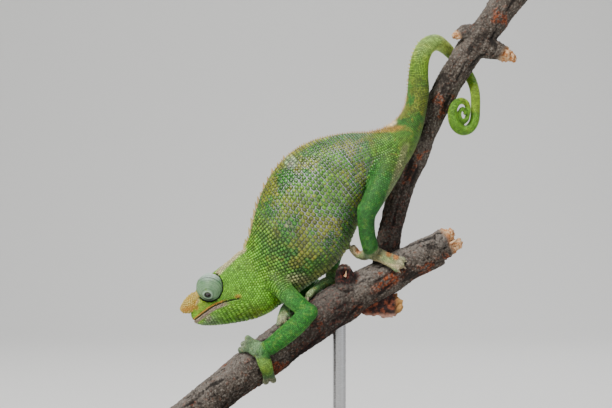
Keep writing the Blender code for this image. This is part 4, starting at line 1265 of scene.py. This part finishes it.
def bare_on_head(points):
    """Places on the head that plates keep clear of: the eyes, the mouth's line and the nostrils."""
    back, up, side = in_head(points)
    mouth = [*head_row(back)][3]
    lips = (back < MOUTH_CORNER + 0.5) & (np.abs(up - mouth) < 0.3)
    nostril = (np.hypot(back - NOSTRIL[0], up - NOSTRIL[1]) < 0.7) & (np.abs(np.abs(side) - NOSTRIL[2]) < 1.5)
    return near_eye(points) | lips | nostril


def index_of(roots):
    index = KDTree(len(roots))
    for number, root in enumerate(roots):
        index.insert(root[:3], number)
    index.balance()
    return index


def kept_apart(groups):
    """Leaves out the scales of each group that would lie on scales of the groups before it."""
    laid = groups[0]
    kept = [laid]
    for group in groups[1:]:
        index = index_of(laid)
        clear = []
        for root in group:
            _, found, away = index.find(root[:3])
            clear.append(away > CLEARANCE * (max(laid[found][9:11]) + max(root[9:11])))
        kept.append(group[np.array(clear, bool)])
        laid = np.concatenate([laid, kept[-1]])
    return kept


def torso_coat(ground):
    """Square scales in rows and columns from the shoulders to the tip of the tail, granules on the neck."""
    trunk = trunk_rings(120, 96, 0.0)
    tail = tube_rings(tail_path(110, 190), 96)
    tail = tail[int(np.argmax(tail.mean(axis=1)[:, 2] > trunk[-1].mean(axis=0)[2] + 0.4)):]
    neck = grid_of_roots(trunk, 60, 0.95, 0.0, NECK_END)
    coat = {"neck": settle(ground, neck, 0.5, 0.55, 0.24, 0.8, inside_perch, 0.05)}
    spots = grid_of_roots(np.concatenate([trunk, tail]), BODY_COLUMNS, 0.95, 0.080, 0.990,
                          stagger=False, wide=0.2)
    for name, start, end, height, limit in BODY_BANDS:
        band = spots[(spots[:, 8] >= start) & (spots[:, 8] < end)]
        coat[name] = settle(ground, band, 0.475, height, 0.17, limit, inside_perch, 0.03)
    return coat


def head_coat(ground):
    """Plates on the head: lip scales, fine cheek plates, long throat plates, and bumps along the crests."""
    rings = head_rings(90, 0.0)[6:]
    plates = grid_of_roots(rings, HEAD_COLUMNS, 0.98)
    long_plates = grid_of_roots(rings, 74, 1.9)
    under = []
    for spots in (plates, long_plates):
        back, up, _ = in_head(spots[:, :3])
        under.append(([*head_row(back)][3] - up > 2.3) & (back < 27.0))
    cheek = settle(ground, plates[~under[0]], 0.5, 0.34, 0.17, 0.9, bare_on_head, 0.05)
    throat = settle(ground, long_plates[under[1]], 0.48, 0.5, 0.22, 0.9, bare_on_head, 0.04)
    ridge = grid_of_roots(brow_rings(0.0), 16, 0.95, 0.06, 0.94)
    brow = settle(ground, ridge, 0.5, 0.4, 0.15, 0.6, near_eye, 0.05)
    lips, bumps = [], []

    def bead(beads, spot, margin, limit, shape):
        """Sets one scale where the skin is nearest to the spot, unless the eye or a hollow is there."""
        point, outward, face, reach = ground.nearest(spot)
        if not near_eye(point[None], margin)[0] and reach <= limit:
            beads.append((*point, *outward, *ahead, *shape(), *ground.unwrapped(face)))

    for sign in SIDES.values():
        for back in np.arange(1.2, MOUTH_CORNER, 0.72):
            _, _, cheek_half, mouth = head_row(back)
            ahead = head_place(back + 1, mouth, 0) - head_place(back, mouth, 0)
            open_by = 0.1 + 0.16 * ease(back, 15.0, 19.0)
            for above in (open_by + 0.38, -open_by - 0.38):
                bead(lips, head_place(back, mouth + above, sign * (cheek_half + 0.1)), 0.1, 1.0,
                     lambda: (0.355, 0.36, 0.26, float(LOOSE.normal(0.5, 0.06))))
        for back in np.arange(7.5, 36.4, 0.8):
            crown, crest_half, _, _ = head_row(back)
            ahead = head_place(back + 1, crown, 0) - head_place(back, crown, 0)
            for out, size in ((0.0, 0.56), (0.85, 0.42)):
                spot = head_place(back, crown + 0.5 - out * 0.8, sign * (crest_half + out * 0.7))
                bead(bumps, spot, 0.4, 1.4,
                     lambda: (size * 0.9, size * 0.75, size * float(LOOSE.uniform(0.35, 0.6)),
                              float(LOOSE.normal(0.55, 0.1))))
    return {"lip": np.array(lips), "casque": np.array(bumps), "brow": brow, "throat": throat, "head": cheek}


def limb_coat(ground):
    """Granules at the shoulder, then fine scales in rows round each leg and toe."""
    coats = {"shoulder": [], "arm": [], "leg": [], "toe": [], "foot": []}
    for name, rings in flesh_shapes(0.0)[0].items():
        if name in ("trunk", "head", "brow", "tail"):
            continue
        if "toe" in name:
            kind, spots = "toe", grid_of_roots(rings, 15, 0.85)
        elif name.startswith(("hand", "foot")):
            kind, spots = "foot", grid_of_roots(rings, 28, 0.75)
        else:
            kind = "arm" if "arm" in name else "leg"
            start = SHOULDER_END if name.startswith("upper") else 0.0
            spots = grid_of_roots(rings, 28, 0.62, start)
            if start:
                grains = grid_of_roots(rings, 26, 0.95, 0.0, start)
                coats["shoulder"].append(settle(ground, grains, 0.5, 0.55, 0.22, 0.8, inside_perch, 0.05))
        coats[kind].append(settle(ground, spots, 0.48, 0.65, 0.19, 0.6, inside_perch, 0.05))
    return {kind: np.concatenate([part for part in parts if len(part)]) for kind, parts in coats.items()}


def filler_coat(ground, laid):
    """Small granules wherever the rows leave skin bare, as at the shoulders and in the folds."""
    roots = np.concatenate(laid)
    index = index_of(roots)
    reach = np.maximum(roots[:, 9], roots[:, 10])
    places = points_of(ground.mesh)
    bare = ~(near_eye(places, 0.5) | bare_on_head(places) | inside_perch(places))
    fresh, cells = [], {}
    around_cell = [(i, j, k) for i in (-1, 0, 1) for j in (-1, 0, 1) for k in (-1, 0, 1)]
    for number in LOOSE.permutation(np.flatnonzero(bare)):
        place = places[number]
        _, found, away = index.find(place)
        if away < reach[found] + GRANULE * 0.7:
            continue
        cell = tuple((place // (2 * GRANULE)).astype(int))
        others = (other for step in around_cell for other in cells.get(tuple(np.add(cell, step)), ()))
        if any(np.linalg.norm(place - other) < 1.7 * GRANULE for other in others):
            continue
        cells.setdefault(cell, []).append(place)
        point, outward, face, _ = ground.nearest(place)
        ahead = unit(np.cross(outward, (0.3, 1.0, 0.2)))
        fresh.append((*point, *outward, *ahead, GRANULE, GRANULE * 0.95, GRANULE * 0.6,
                      float(LOOSE.uniform(0.25, 0.75)), *ground.unwrapped(face)))
    scale_coat("small_granules", np.array(fresh), dome(6, 2.0), SCALES)


def make_coat(ground):
    """Every scale of the coat: those of each part, kept off each other, and granules in the gaps."""
    coat = {**head_coat(ground), **torso_coat(ground), **limb_coat(ground)}
    apart = dict(zip(coat, kept_apart(list(coat.values()))))
    body = apart.pop("torso")
    for side, sign in SIDES.items():
        part = (body[:, 1] >= 0) == (sign > 0)
        scale_coat(f"torso_scales_{side}", body[part], dome(8, None, SOFT), SCALES)
    for name, shape in SCALE_SHAPES.items():
        scale_coat(f"{name}_scales", apart[name], dome(*shape), SCALES)
    filler_coat(ground, [body, *apart.values()])


def cone_spike(shell, base, direction, length, radius, curve):
    """One soft spine, round at the root and bent back towards its point."""
    rows = []
    for share in (0.0, 0.2, 0.42, 0.64, 0.84, 1.0):
        rows.append((*(base - direction * radius + direction * (length + radius) * share
                       + curve * length * 0.22 * share * share), radius * (1 - share) ** 0.75 + 0.05))
    draw_loft(shell, tube_rings(np.array(rows), 8))


def make_crest(ground):
    """Spines along the back: long and uneven at the nape, then a fine saw edge onto the tail."""
    shell = bmesh.new()
    trunk = trunk_rings(200, 8, 0.0)
    back, belly = trunk[:, 0], trunk[:, 4]
    at = lengths_along(back)

    def spine_at(here, length, radius):
        base, below, after = at_steps(here, at, back), at_steps(here, at, belly), at_steps(here + 1, at, back)
        along, up = unit(after - base), unit(base - below)
        lean = unit(up * math.cos(CREST_LEAN) + along * math.sin(CREST_LEAN))
        cone_spike(shell, base, lean, length, radius, along)

    for here, length in LONG_SPINES:
        spine_at(here, length, 0.36 + 0.26 * length)
    here = 1.6
    while here < at[-1] - 0.5:
        if min(abs(here - long) for long, _ in LONG_SPINES) > 1.0:
            spine_at(here, CREST_LOW * float(LOOSE.uniform(0.6, 1.15)), 0.42)
        here += CREST_PITCH
    path = tail_path(110, 40)
    rings = tube_rings(path, 12)
    lengths = lengths_along(path[:, :3])
    here, end, pitch = TAIL_SPINES
    while here < end:
        low = int(np.searchsorted(lengths, here)) - 1
        outer = rings[low][0]
        cone_spike(shell, outer, unit(outer - path[low, :3]), CREST_LOW * float(LOOSE.uniform(0.5, 1.0)), 0.4,
                   unit(path[low + 1, :3] - path[low, :3]))
        here += pitch
    mesh = mesh_of("crest_spines", shell)
    places = points_of(mesh)
    masks = place_masks(places)
    cream, orange, _ = masks["mark"]
    cream[:] = np.maximum(cream, 0.5)
    orange[:] = np.maximum(orange, 0.25)
    carry_masks(mesh, masks, 1, np.full(len(places), 0.45), np.full(len(places), 0.8))
    layer = mesh.uv_layers.new(name="OFBake")
    spots = np.empty((len(mesh.loops), 2))
    for face in mesh.polygons:
        _, _, under, _ = ground.nearest(places[face.vertices[0]])
        spots[list(face.loop_indices)] = ground.unwrapped(under)
    spots += LOOSE.uniform(-0.0012, 0.0012, spots.shape)
    layer.data.foreach_set("uv", spots.ravel())
    place_piece("crest_spines", mesh, SCALES)


# Eyes

def eye_frame(side):
    """The turret's centre, the way the eye looks, and two directions across that."""
    gaze = unit(np.array((GAZE[0], SIDES[side] * GAZE[1], GAZE[2])))
    across = unit(np.cross(gaze, (0.0, 0.0, 1.0)))
    return EYE_CENTRES[side], gaze, across, np.cross(gaze, across)


def fold_drift(fold, spin):
    """How far a fold of the lids strays from its even ring, in degrees."""
    return 1.9 * np.sin(spin + fold * 0.11) + 0.8 * np.sin(3 * spin + fold)


def turret_radius(angle, spin):
    """The turret's radius at an angle from the pupil and round it, with its folds and the lids' rim."""
    degrees = math.degrees(angle)
    folds = sum(depth * np.exp(-((degrees - fold - fold_drift(fold, spin)) / width) ** 2)
                for fold, depth, width in EYE_FOLDS)
    rim = 0.2 * math.exp(-((degrees - 17.0) / 3.5) ** 2)
    return EYE_RADIUS - 0.12 - folds + rim


def pressed(places, side):
    """The turrets give way to the crown between them: their inner sides are pressed nearly flat."""
    sign = SIDES[side]
    out = sign * places[:, 1]
    soft = EYE[2] - 0.6
    flat = EYE_RADIUS - EYE[2]
    share = np.clip((out + flat) / (soft + flat), 0, 1)
    moved = places.copy()
    moved[:, 1] = np.where(out < soft, sign * (EYE_INNER_FACE + (soft - EYE_INNER_FACE) * share ** 2.4),
                           places[:, 1])
    return moved


def lids_material():
    look = Look("eye_lids", Roughness=0.5, Specular_IOR_Level=0.45)
    dark, pale, _ = look.parted("lid")
    # pale is a painted highlight, and dark is mostly painted shade with the pupil's edge.
    shade = look.layers(look.mottled(170.0, 0.4, 0.62, (0.13, 0.27, 0.13), (0.22, 0.37, 0.20)),
                        (look.band(look.grain(330.0), 0.58, 0.66, 0.0, 0.45), (0.17, 0.33, 0.03)),
                        (pale, (0.50, 0.60, 0.56)), (dark, (0.012, 0.02, 0.02)))
    return look.finish(shade, look.grain(1500.0), 0.3, 0.00015)


def shade_lids(mesh, side, low=0.0):
    """How dark and how pale the lids are: painted shade in the folds, below the pupil and underneath, dark at
    the pupil's edge, a painted highlight on top and a pale ring by the rim.
    """
    places = points_of(mesh)
    centre, gaze, across, upward = eye_frame(side)
    away = places - centre
    depth = np.maximum(np.linalg.norm(away, axis=1), 1e-6)
    angle = np.degrees(np.arccos(np.clip((away @ gaze) / depth, -1, 1)))
    spin = np.arctan2(away @ upward, away @ across)
    level = away[:, 2] / depth
    dark = sum(min(1.0, depth_of * 4.2) * np.exp(-((angle - fold - fold_drift(fold, spin)) / 2.0) ** 2)
               for fold, depth_of, _ in EYE_FOLDS)
    below = ease(-(places[:, 2] - centre[2] - gaze[2] * EYE_RADIUS) / EYE_RADIUS, 0.08, 0.3)
    dark = np.max([dark, fade(angle, 13.5, 16.0), 0.95 * np.exp(-((angle - 31.0) / 8.0) ** 2) * below,
                   0.85 * ease(-level, 0.86, 0.98)], axis=0)
    pale = 0.75 * ease(level, 0.35, 0.95) + 0.5 * np.exp(-((angle - 18.5) / 2.4) ** 2)
    store(mesh, "lid", (np.clip(np.clip(dark, 0, 0.95) + low, 0, 1), np.clip(pale, 0, 0.85), pale * 0))


def eye_turret(side, material):
    """The turret of fused lids in folds, with a small hole for the ball."""
    centre, gaze, across, upward = eye_frame(side)
    turn = np.linspace(0.0, 2 * math.pi, 72, endpoint=False)
    circle = np.outer(np.cos(turn), across) + np.outer(np.sin(turn), upward)
    hole = math.asin(PUPIL_RADIUS / EYE_RADIUS)
    profile = [(hole * share, EYE_RADIUS - depth) for share, depth in ((0.7, 2.2), (0.74, 1.2), (0.8, 0.5))]
    profile += [(angle, turret_radius(angle, turn)) for angle in np.radians(np.arange(12.5, 150.0, 1.5))]
    shell = bmesh.new()
    draw_loft(shell, [centre + (np.zeros(len(turn)) + radius)[:, None]
                      * (gaze * math.cos(angle) + circle * math.sin(angle)) for angle, radius in profile])
    mesh = mesh_of(f"eye_lids_{side}", shell)
    shade_lids(mesh, side)
    move_to(mesh, pressed(points_of(mesh), side))
    place_piece(f"eye_lids_{side}", mesh, material, [f"eye_turret_{side}"])


def eye_grains(side, material):
    """Rings of granules on the turret, which leave its folds free."""
    centre, gaze, across, upward = eye_frame(side)
    grains = []
    for row, degrees in enumerate(np.arange(18.0, 128.0, 4.1)):
        count = max(10, int(2 * math.pi * EYE_RADIUS * math.sin(math.radians(degrees)) / 0.5))
        for step in range(count):
            spin = 2 * math.pi * (step + 0.5 * (row % 2) + float(LOOSE.normal(0, 0.22))) / count
            near = degrees + float(LOOSE.normal(0, 0.5))
            if any(abs(near - fold - fold_drift(fold, spin)) < 1.7
                   for fold, depth, _ in EYE_FOLDS if depth > 0.06):
                continue
            angle = math.radians(near)
            way = across * math.cos(spin) + upward * math.sin(spin)
            outward = gaze * math.cos(angle) + way * math.sin(angle)
            place = centre + outward * turret_radius(angle, spin)
            if (place[1] < 0) == (side == "right"):
                continue
            place = pressed(place[None], side)[0]
            size = float(LOOSE.uniform(0.19, 0.27))
            grains.append((*place, *outward, *np.cross(outward, way + 0.01), size, size * 0.92,
                           float(LOOSE.uniform(0.05, 0.11)), 0.5,
                           0.5 + way[0] * angle * 0.12, 0.5 + way[2] * angle * 0.12))
    shape = dome(6, 2.0)
    piece = scale_coat(f"eye_grains_{side}", np.array(grains), shape, material)
    # Painted shade on the grains' low sides.
    shade_lids(piece.data, side, np.tile(np.clip(0.4 - shape[0][:, 2], 0, 0.5), len(grains)))


def eye_ball(side, material):
    """The wet ball with its golden ring, seen through the hole."""
    centre, gaze, _, _ = eye_frame(side)
    middle = centre + gaze * (EYE_RADIUS - BALL_DEPTH)
    ball = bmesh.new()
    bmesh.ops.create_uvsphere(ball, u_segments=32, v_segments=24, radius=BALL_RADIUS * MM)
    bmesh.ops.translate(ball, verts=ball.verts, vec=Vector(middle) * MM)
    mesh = mesh_of(f"eye_ball_{side}", ball)
    off = unit(points_of(mesh) - middle) @ gaze
    store(mesh, "iris", ease(off, 0.80, 0.84) * fade(off, 0.885, 0.905))
    place_piece(f"eye_ball_{side}", mesh, material, [f"eyeball_{side}"])


def make_eyes():
    lids = lids_material()
    look = Look("eye_ball", Roughness=0.08, Specular_IOR_Level=0.6, Coat_Weight=0.6, Coat_Roughness=0.03)
    ball = look.finish(look.blend(look.value("iris"), (0.004, 0.004, 0.004), (0.25, 0.13, 0.035)))
    for side in SIDES:
        eye_turret(side, lids)
        eye_grains(side, lids)
        eye_ball(side, ball)


# Horns and claws

def horn_material():
    look = Look("horn_keratin", Roughness=0.45, Specular_IOR_Level=0.5)
    low = look.times(look.band(look.axis("Z"), 0.0775, 0.0715), look.band(look.grain(330.0), 0.4, 0.6))
    shade = look.layers(look.mottled(240.0, 0.42, 0.62, (0.56, 0.38, 0.05), (0.64, 0.52, 0.14)),
                        (low, (0.48, 0.22, 0.02)),
                        # Painted shade toward the knobs' roots and on the core between them.
                        (look.band(look.value("rise"), 0.5, 0.0, 0.0, 0.6), (0.20, 0.08, 0.02)))
    return look.finish(shade, look.grain(1200.0), 0.4, 0.0002)


def make_horns():
    """The two short horns of the snout: a rough core, flat plates, and a row of knobs on the top edge."""
    material = horn_material()
    rows = smooth(HORN, 30)
    for side, sign in SIDES.items():
        path = np.array([(*head_place(row[0], row[1], sign * row[2]), row[4]) for row in rows])
        path = np.concatenate([path, [(*(path[-1, :3] + (path[-1, :3] - path[-2, :3]) * 0.6), 0.15)]])
        rings = tube_rings(path, 32, flat=np.concatenate([rows[:, 3], [0.18]]))
        shell = bmesh.new()
        draw_loft(shell, rings)
        core = mesh_of(f"horn_core_{side}", shell)
        # The core's rise gives it a share of the knobs' painted root shade.
        store(core, "rise", np.full(len(core.vertices), 0.3))
        place_piece(f"horn_core_{side}", core, material, [f"horn_{side}"])
        middles = rings.mean(axis=1)
        knobs = []
        for spot in grid_of_roots(rings, 12, 0.85, 0.12, 0.97):
            outward = unit(spot[:3] - middles[int(np.argmin(away_from(middles, spot[:3])))])
            size = 0.5 * float(LOOSE.uniform(0.85, 1.1))
            knobs.append((*spot[:3], *outward, *spot[3:6], size * spot[6], size * spot[7],
                          float(LOOSE.uniform(0.16, 0.3)), 0.5, 0.5 + spot[1] * 0.02, 0.5 + spot[2] * 0.002))
        for row in range(6, len(rings) - 1, 3):
            top = rings[row][int(np.argmax(rings[row][:, 2]))]
            ahead = rings[row + 1][0] - rings[row][0]
            size = float(LOOSE.uniform(0.42, 0.6))
            knobs.append((*top, *unit(top - middles[row]), *ahead, size, size * 0.9, size * 1.1,
                          0.5, 0.5 + top[1] * 0.02, 0.5 + top[2] * 0.002))
        scale_coat(f"horn_knobs_{side}", np.array(knobs), dome(8, 2.2, SOFT), material)


def make_claws(claws):
    look = Look("claw_horn", Roughness=0.3, Specular_IOR_Level=0.5)
    material = look.finish(look.mottled(700.0, 0.4, 0.6, (0.16, 0.12, 0.07), (0.40, 0.34, 0.22)))
    shell = bmesh.new()
    for rings in claws:
        draw_loft(shell, rings)
    place_piece("claws", mesh_of("claws", shell), material)


# Perch

def wood_rings(stations, rows, sides):
    """Rings of a length of branch whose round section swells and dips along it."""
    path = smooth(stations, rows)
    rings = []
    turn = np.linspace(0.0, 2 * math.pi, sides, endpoint=False)
    for row, ring in enumerate(tube_rings(path, sides)):
        along = row * 24.0 / rows
        swell = (np.sin(2 * turn + 0.9 * along) + np.sin(3 * turn - 1.7 * along + 1.0)
                 + 0.8 * np.sin(1.3 * along + 2.0))
        rings.append(path[row, :3] + (ring - path[row, :3]) * (1 + BARK_SWELL * swell)[:, None])
    return rings


def bark_material():
    """Grey-brown bark with pits, painted shade in its grooves and low places, rusty patches, painted light on
    its upper side, a burnt knot, a painted shadow over the middle, and torn wood at the breaks.
    """
    look = Look("branch_bark", Roughness=0.85, Specular_IOR_Level=0.25)
    torn, groove_shade, height = look.parted("wood")
    rust, char_and_shadow, pale = look.parted("stains_light_and_shade")
    spots, flecks = look.grain(1100.0, 4.0, 0.7), look.grain(600.0, 3.0, 0.7)
    band, blend = look.band, look.blend
    colour = look.layers(
        blend(band(look.grain(120.0, 5.0, 0.75), 0.36, 0.64), (0.038, 0.028, 0.021), (0.105, 0.086, 0.070)),
        # pale: painted light on the upper side of the wood, and the knot's pale rim.
        (pale, (0.25, 0.225, 0.205)),
        (band(spots, 0.50, 0.66, 0.0, 0.55), (0.32, 0.29, 0.25)),
        (band(spots, 0.46, 0.34, 0.0, 0.85), (0.018, 0.013, 0.011)),
        (band(flecks, 0.56, 0.66, 0.0, 0.35), (0.20, 0.075, 0.04)),
        (look.times(rust, band(flecks, 0.42, 0.56)),
         blend(band(spots, 0.4, 0.6), (0.09, 0.020, 0.010), (0.34, 0.083, 0.026))),
        # Painted shade where the bark is pushed in.
        (band(height, 0.5, 0.1, 0.0, 0.85), (0.016, 0.012, 0.01)),
        # Painted shade in the grooves between the bark's ridges.
        (groove_shade, (0.01, 0.008, 0.007)),
        # The burnt knot and its dark hollow, and a painted shadow on the wood.
        (char_and_shadow, blend(band(flecks, 0.5, 0.66), (0.012, 0.006, 0.005), (0.12, 0.025, 0.018))),
        (torn, blend(band(flecks, 0.4, 0.6), (0.46, 0.17, 0.05), (0.72, 0.48, 0.27))))
    return look.finish(colour, look.plus(spots, flecks), 0.8, 0.0006)


def fractal_at(spots, *settings):
    return np.array([noise.fractal(spot, *settings) for spot in spots])


def make_perch():
    """The branch, its stem and broken stubs as one piece of wood, with its bark worked in."""
    shell = bmesh.new()
    draw_loft(shell, wood_rings(BRANCH, 120, 60))
    draw_loft(shell, wood_rings(STEM, 140, 48))
    for stub in STUBS:
        draw_loft(shell, tube_rings(with_round_ends(smooth(stub, 12), False, True), 24))
    mesh = fuse("perch", shell, BARK_PITCH, 4)
    places = points_of(mesh)
    (reach, share), (stem_reach, stem_share) = (along_line(places, line[:, :3], line[:, 3])
                                                for line in (BRANCH_LINE, STEM_LINE))
    on_stem = stem_reach < reach
    share = np.where(on_stem, stem_share, share)
    along = share * np.where(on_stem, STEM_LENGTH, BRANCH_LENGTH)
    steps = np.linspace(0.0, 1.0, len(BRANCH_LINE))
    centre = np.where(on_stem[:, None], at_steps(share, steps, STEM_LINE[:, :3]),
                      at_steps(share, steps, BRANCH_LINE[:, :3]))
    off = unit(places - centre) * 6.0
    torn = fade(along_line(places, np.array(BROKEN_END))[0], 3.4, 6.4)
    for tip, size in BROKEN_TIPS:
        torn = np.maximum(torn, fade(away_from(places, np.array(tip)), size * 0.7, size * 1.3))
    from_knot = places - np.array(KNOT)
    char_and_shadow = fade(away_from(from_knot / (1.25, 1.6, 1.0), 0.0), 4.4, 6.4) * fade(places[:, 2], 91.0, 92.6)
    hollow = fade(away_from((from_knot - (-0.2, -4.4, -0.6)) / (1.1, 1.3, 1.0), 0.0), 1.0, 3.7)
    ridge = fractal_at([Vector(at) * 0.55 + Vector((0.0, run * 0.1, 7.0 * stem))
                        for at, run, stem in zip(off, along, on_stem)], 0.8, 2.1, 4)
    pits = fractal_at(places * 0.8, 0.7, 2.0, 2)
    knots = fractal_at(places * 0.11, 0.9, 2.0, 2)
    rust = fractal_at(places * 0.09 + (9.0, 0.0, 0.0), 0.8, 2.2, 3)
    shred = fractal_at(places * 0.42, 0.7, 2.0, 3)
    lift = np.clip(0.36 * ridge + 0.45 * knots + 0.3 * pits + 1.5 * shred * torn, -1.3, 0.9) - 2.6 * hollow
    places += vectors_of(mesh, "normal") * lift[:, None]
    move_to(mesh, places)
    # dark: painted shade in the grooves between the bark's ridges.
    dark = ease(-ridge, 0.3, 0.62) * 0.85
    lower = ease(-off[:, 2], 0.0, 4.5) * (1 - on_stem)
    x, _, z = (places - STREAK).T
    streak = fade(np.hypot((x * 0.85 + z * 0.53) / 11.0, (z * 0.85 - x * 0.53) / 3.4), 0.5, 1.2)
    streak *= places[:, 1] < 0
    rusty = np.maximum(ease(rust + 0.16 * lower, 0.34, 0.55) * 0.85, streak)
    rim = fade(away_from(places - np.array(KNOT), (0.0, -1.0, 3.0)), 2.4, 4.2) * (1 - hollow)
    # Painted light on the upper side of the branch and the stem, and the real pale rim of the knot.
    pale = np.maximum(ease(off[:, 2], -1.0, 5.0) * np.where(on_stem, 0.3, 0.45), 0.7 * rim)
    shaded = np.where(on_stem, fade(along, 22.0, 50.0), ease(along, 66.0, 80.0) * fade(along, 100.0, 112.0))
    # A painted shadow of the animal's body over the middle of the branch, and painted shade on the stem's
    # lower part, joined to the burnt knot.
    char_and_shadow = np.maximum(char_and_shadow, 0.42 * shaded * (1 - streak))
    # The wood attribute holds torn wood, painted shade for the grooves, and the height that gives painted
    # shade in low places.
    store(mesh, "wood", (torn, dark, ease(lift, -0.6, 0.6)))
    store(mesh, "stains_light_and_shade", (rusty, np.maximum(char_and_shadow * 0.9, hollow), pale))
    mesh.shade_smooth()
    place_piece("perch", mesh, bark_material(), ["perch_branch", "perch_stem"])


def make_splinters():
    """Slivers of wood where the branch and its stubs are broken."""
    shell = bmesh.new()
    for end, way, reach, count in SPLINTERS:
        way = unit(np.array(way))
        one = unit(np.cross(way, (0.0, 1.0, 0.1)))
        two = np.cross(way, one)
        for _ in range(count):
            angle, out = LOOSE.uniform(0, 2 * math.pi), reach * math.sqrt(LOOSE.uniform(0, 1))
            base = np.array(end) + one * math.cos(angle) * out + two * math.sin(angle) * out - way * 2.0
            tip = way + one * LOOSE.normal(0, 0.16) + two * LOOSE.normal(0, 0.16)
            cone_spike(shell, base, unit(tip), float(LOOSE.uniform(1.2, 3.0)),
                       float(LOOSE.uniform(0.35, 0.75)), one * 0.6)
    look = Look("torn_wood", Roughness=0.8)
    shade = look.mottled(300.0, 0.4, 0.6, (0.42, 0.15, 0.05), (0.74, 0.52, 0.31))
    material = look.finish(shade, look.grain(1500.0), 0.5, 0.0003)
    place_piece("splinters", mesh_of("splinters", shell, soft=False), material)


def make_bark_flake():
    """The ragged flake of bark that hangs away under the branch."""
    shell = bmesh.new()
    path = smooth(BARK_FLAKE, 70)
    heights = path[:, 3].copy()
    path[:, 3] = BARK_FLAKE_THICKNESS
    draw_loft(shell, tube_rings(path, 64, flat=heights))
    for vert in shell.verts:
        ragged = noise.noise_vector(vert.co * 320.0) * 1.5 + noise.noise_vector(vert.co * 1000.0) * 0.7
        vert.co += Vector((ragged.x, ragged.y * 0.7, ragged.z)) * MM
    look = Look("loose_bark", Roughness=0.85)
    shade = look.layers(look.mottled(420.0, 0.42, 0.6, (0.02, 0.007, 0.006), (0.21, 0.05, 0.02)),
                        (look.band(look.axis("X"), 0.0265, 0.0305, 0.0, 0.75), (0.62, 0.33, 0.09)),
                        (look.band(look.axis("Z"), 0.0718, 0.0698, 0.0, 0.8), (0.42, 0.24, 0.18)))
    material = look.finish(shade, look.grain(900.0), 0.6, 0.0004)
    place_piece("bark_flake", mesh_of("bark_flake", shell), material)


def finish_stand():
    """The stand's own solids keep their shape and get stained wood and brushed steel."""
    look = Look("stained_wood", Roughness=0.38, Specular_IOR_Level=0.5)
    rings = look.grain(30.0, 6.0, 0.6, (1.0, 9.0, 9.0), Distortion=0.6)
    shade = look.blend(look.band(rings, 0.35, 0.65), (0.012, 0.009, 0.007), (0.045, 0.032, 0.024))
    wood = look.finish(shade, rings, 0.2, 0.0003, look.band(rings, 0.3, 0.7, 0.46, 0.32))
    look = Look("brushed_steel", Metallic=1.0, Roughness=0.32)
    lines = look.grain(220.0, 3.0, stretch=(1.0, 1.0, 30.0))
    steel = look.finish(look.blend(lines, (0.42, 0.42, 0.43), (0.62, 0.62, 0.63)),
                        roughness=look.band(lines, 0.3, 0.7, 0.24, 0.4))
    for node, material in (("stand_base", wood), ("stand_rod", steel)):
        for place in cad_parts[node].material_slots:
            place.material = material


# Camera, floor and light

def make_floor():
    """A pale floor that curves up into a wall far behind the model."""
    shell = bmesh.new()
    bmesh.ops.create_grid(shell, x_segments=1, y_segments=1, size=1.0)
    for vert in shell.verts:
        vert.co = Vector((vert.co.x * FLOOR_HALF_WIDTH, FLOOR_FRONT if vert.co.y < 0 else FLOOR_BACK, 0.0))
    edges = [edge for edge in shell.edges if all(vert.co.y > 0 for vert in edge.verts)]
    bend = [math.radians(9.0 * step) for step in range(1, 11)]
    rows = [(FLOOR_BACK + FLOOR_BEND * math.sin(angle), FLOOR_BEND * (1 - math.cos(angle))) for angle in bend]
    for y, z in rows + [(rows[-1][0], WALL_TOP)]:
        pulled = bmesh.ops.extrude_edge_only(shell, edges=edges)["geom"]
        edges = [item for item in pulled if isinstance(item, bmesh.types.BMEdge)
                 and all(vert in pulled for vert in item.verts)]
        for item in pulled:
            if isinstance(item, bmesh.types.BMVert):
                item.co.y, item.co.z = y, z
    mesh = mesh_of("floor", shell, closed=False)
    mesh.materials.append(Look("studio_paper", Roughness=0.9, Base_Color=(0.72, 0.72, 0.71, 1.0)).material)
    in_scene("floor", mesh)


def set_the_stage():
    camera = bpy.data.cameras.new("camera")
    camera.lens = 100.0
    camera.sensor_width = 36.0
    camera.clip_start = 0.01
    holder = in_scene("camera", camera)
    holder.location = CAMERA_PLACE
    holder.rotation_euler = (math.pi / 2, 0.0, 0.0)
    bpy.context.scene.camera = holder
    make_floor()
    for name, place, size, power, colour in LIGHTS:
        light = bpy.data.lights.new(name, "AREA")
        light.size = size
        light.energy = power
        light.color = colour
        lamp = in_scene(name, light)
        lamp.location = place
        lamp.rotation_euler = (Vector(LIGHTS_AIM) - Vector(place)).to_track_quat("-Z", "Y").to_euler()
    world = bpy.data.worlds.new("studio")
    world.use_nodes = True
    world.node_tree.nodes["Background"].inputs[0].default_value = (0.9, 0.93, 1.0, 1.0)
    world.node_tree.nodes["Background"].inputs[1].default_value = 0.22
    bpy.context.scene.world = world


def make_model():
    set_the_stage()
    finish_stand()
    make_perch()
    make_splinters()
    make_bark_flake()
    skin, claws = make_skin()
    ground = Ground(skin)
    make_coat(ground)
    make_crest(ground)
    make_eyes()
    make_horns()
    make_claws(claws)


make_model()
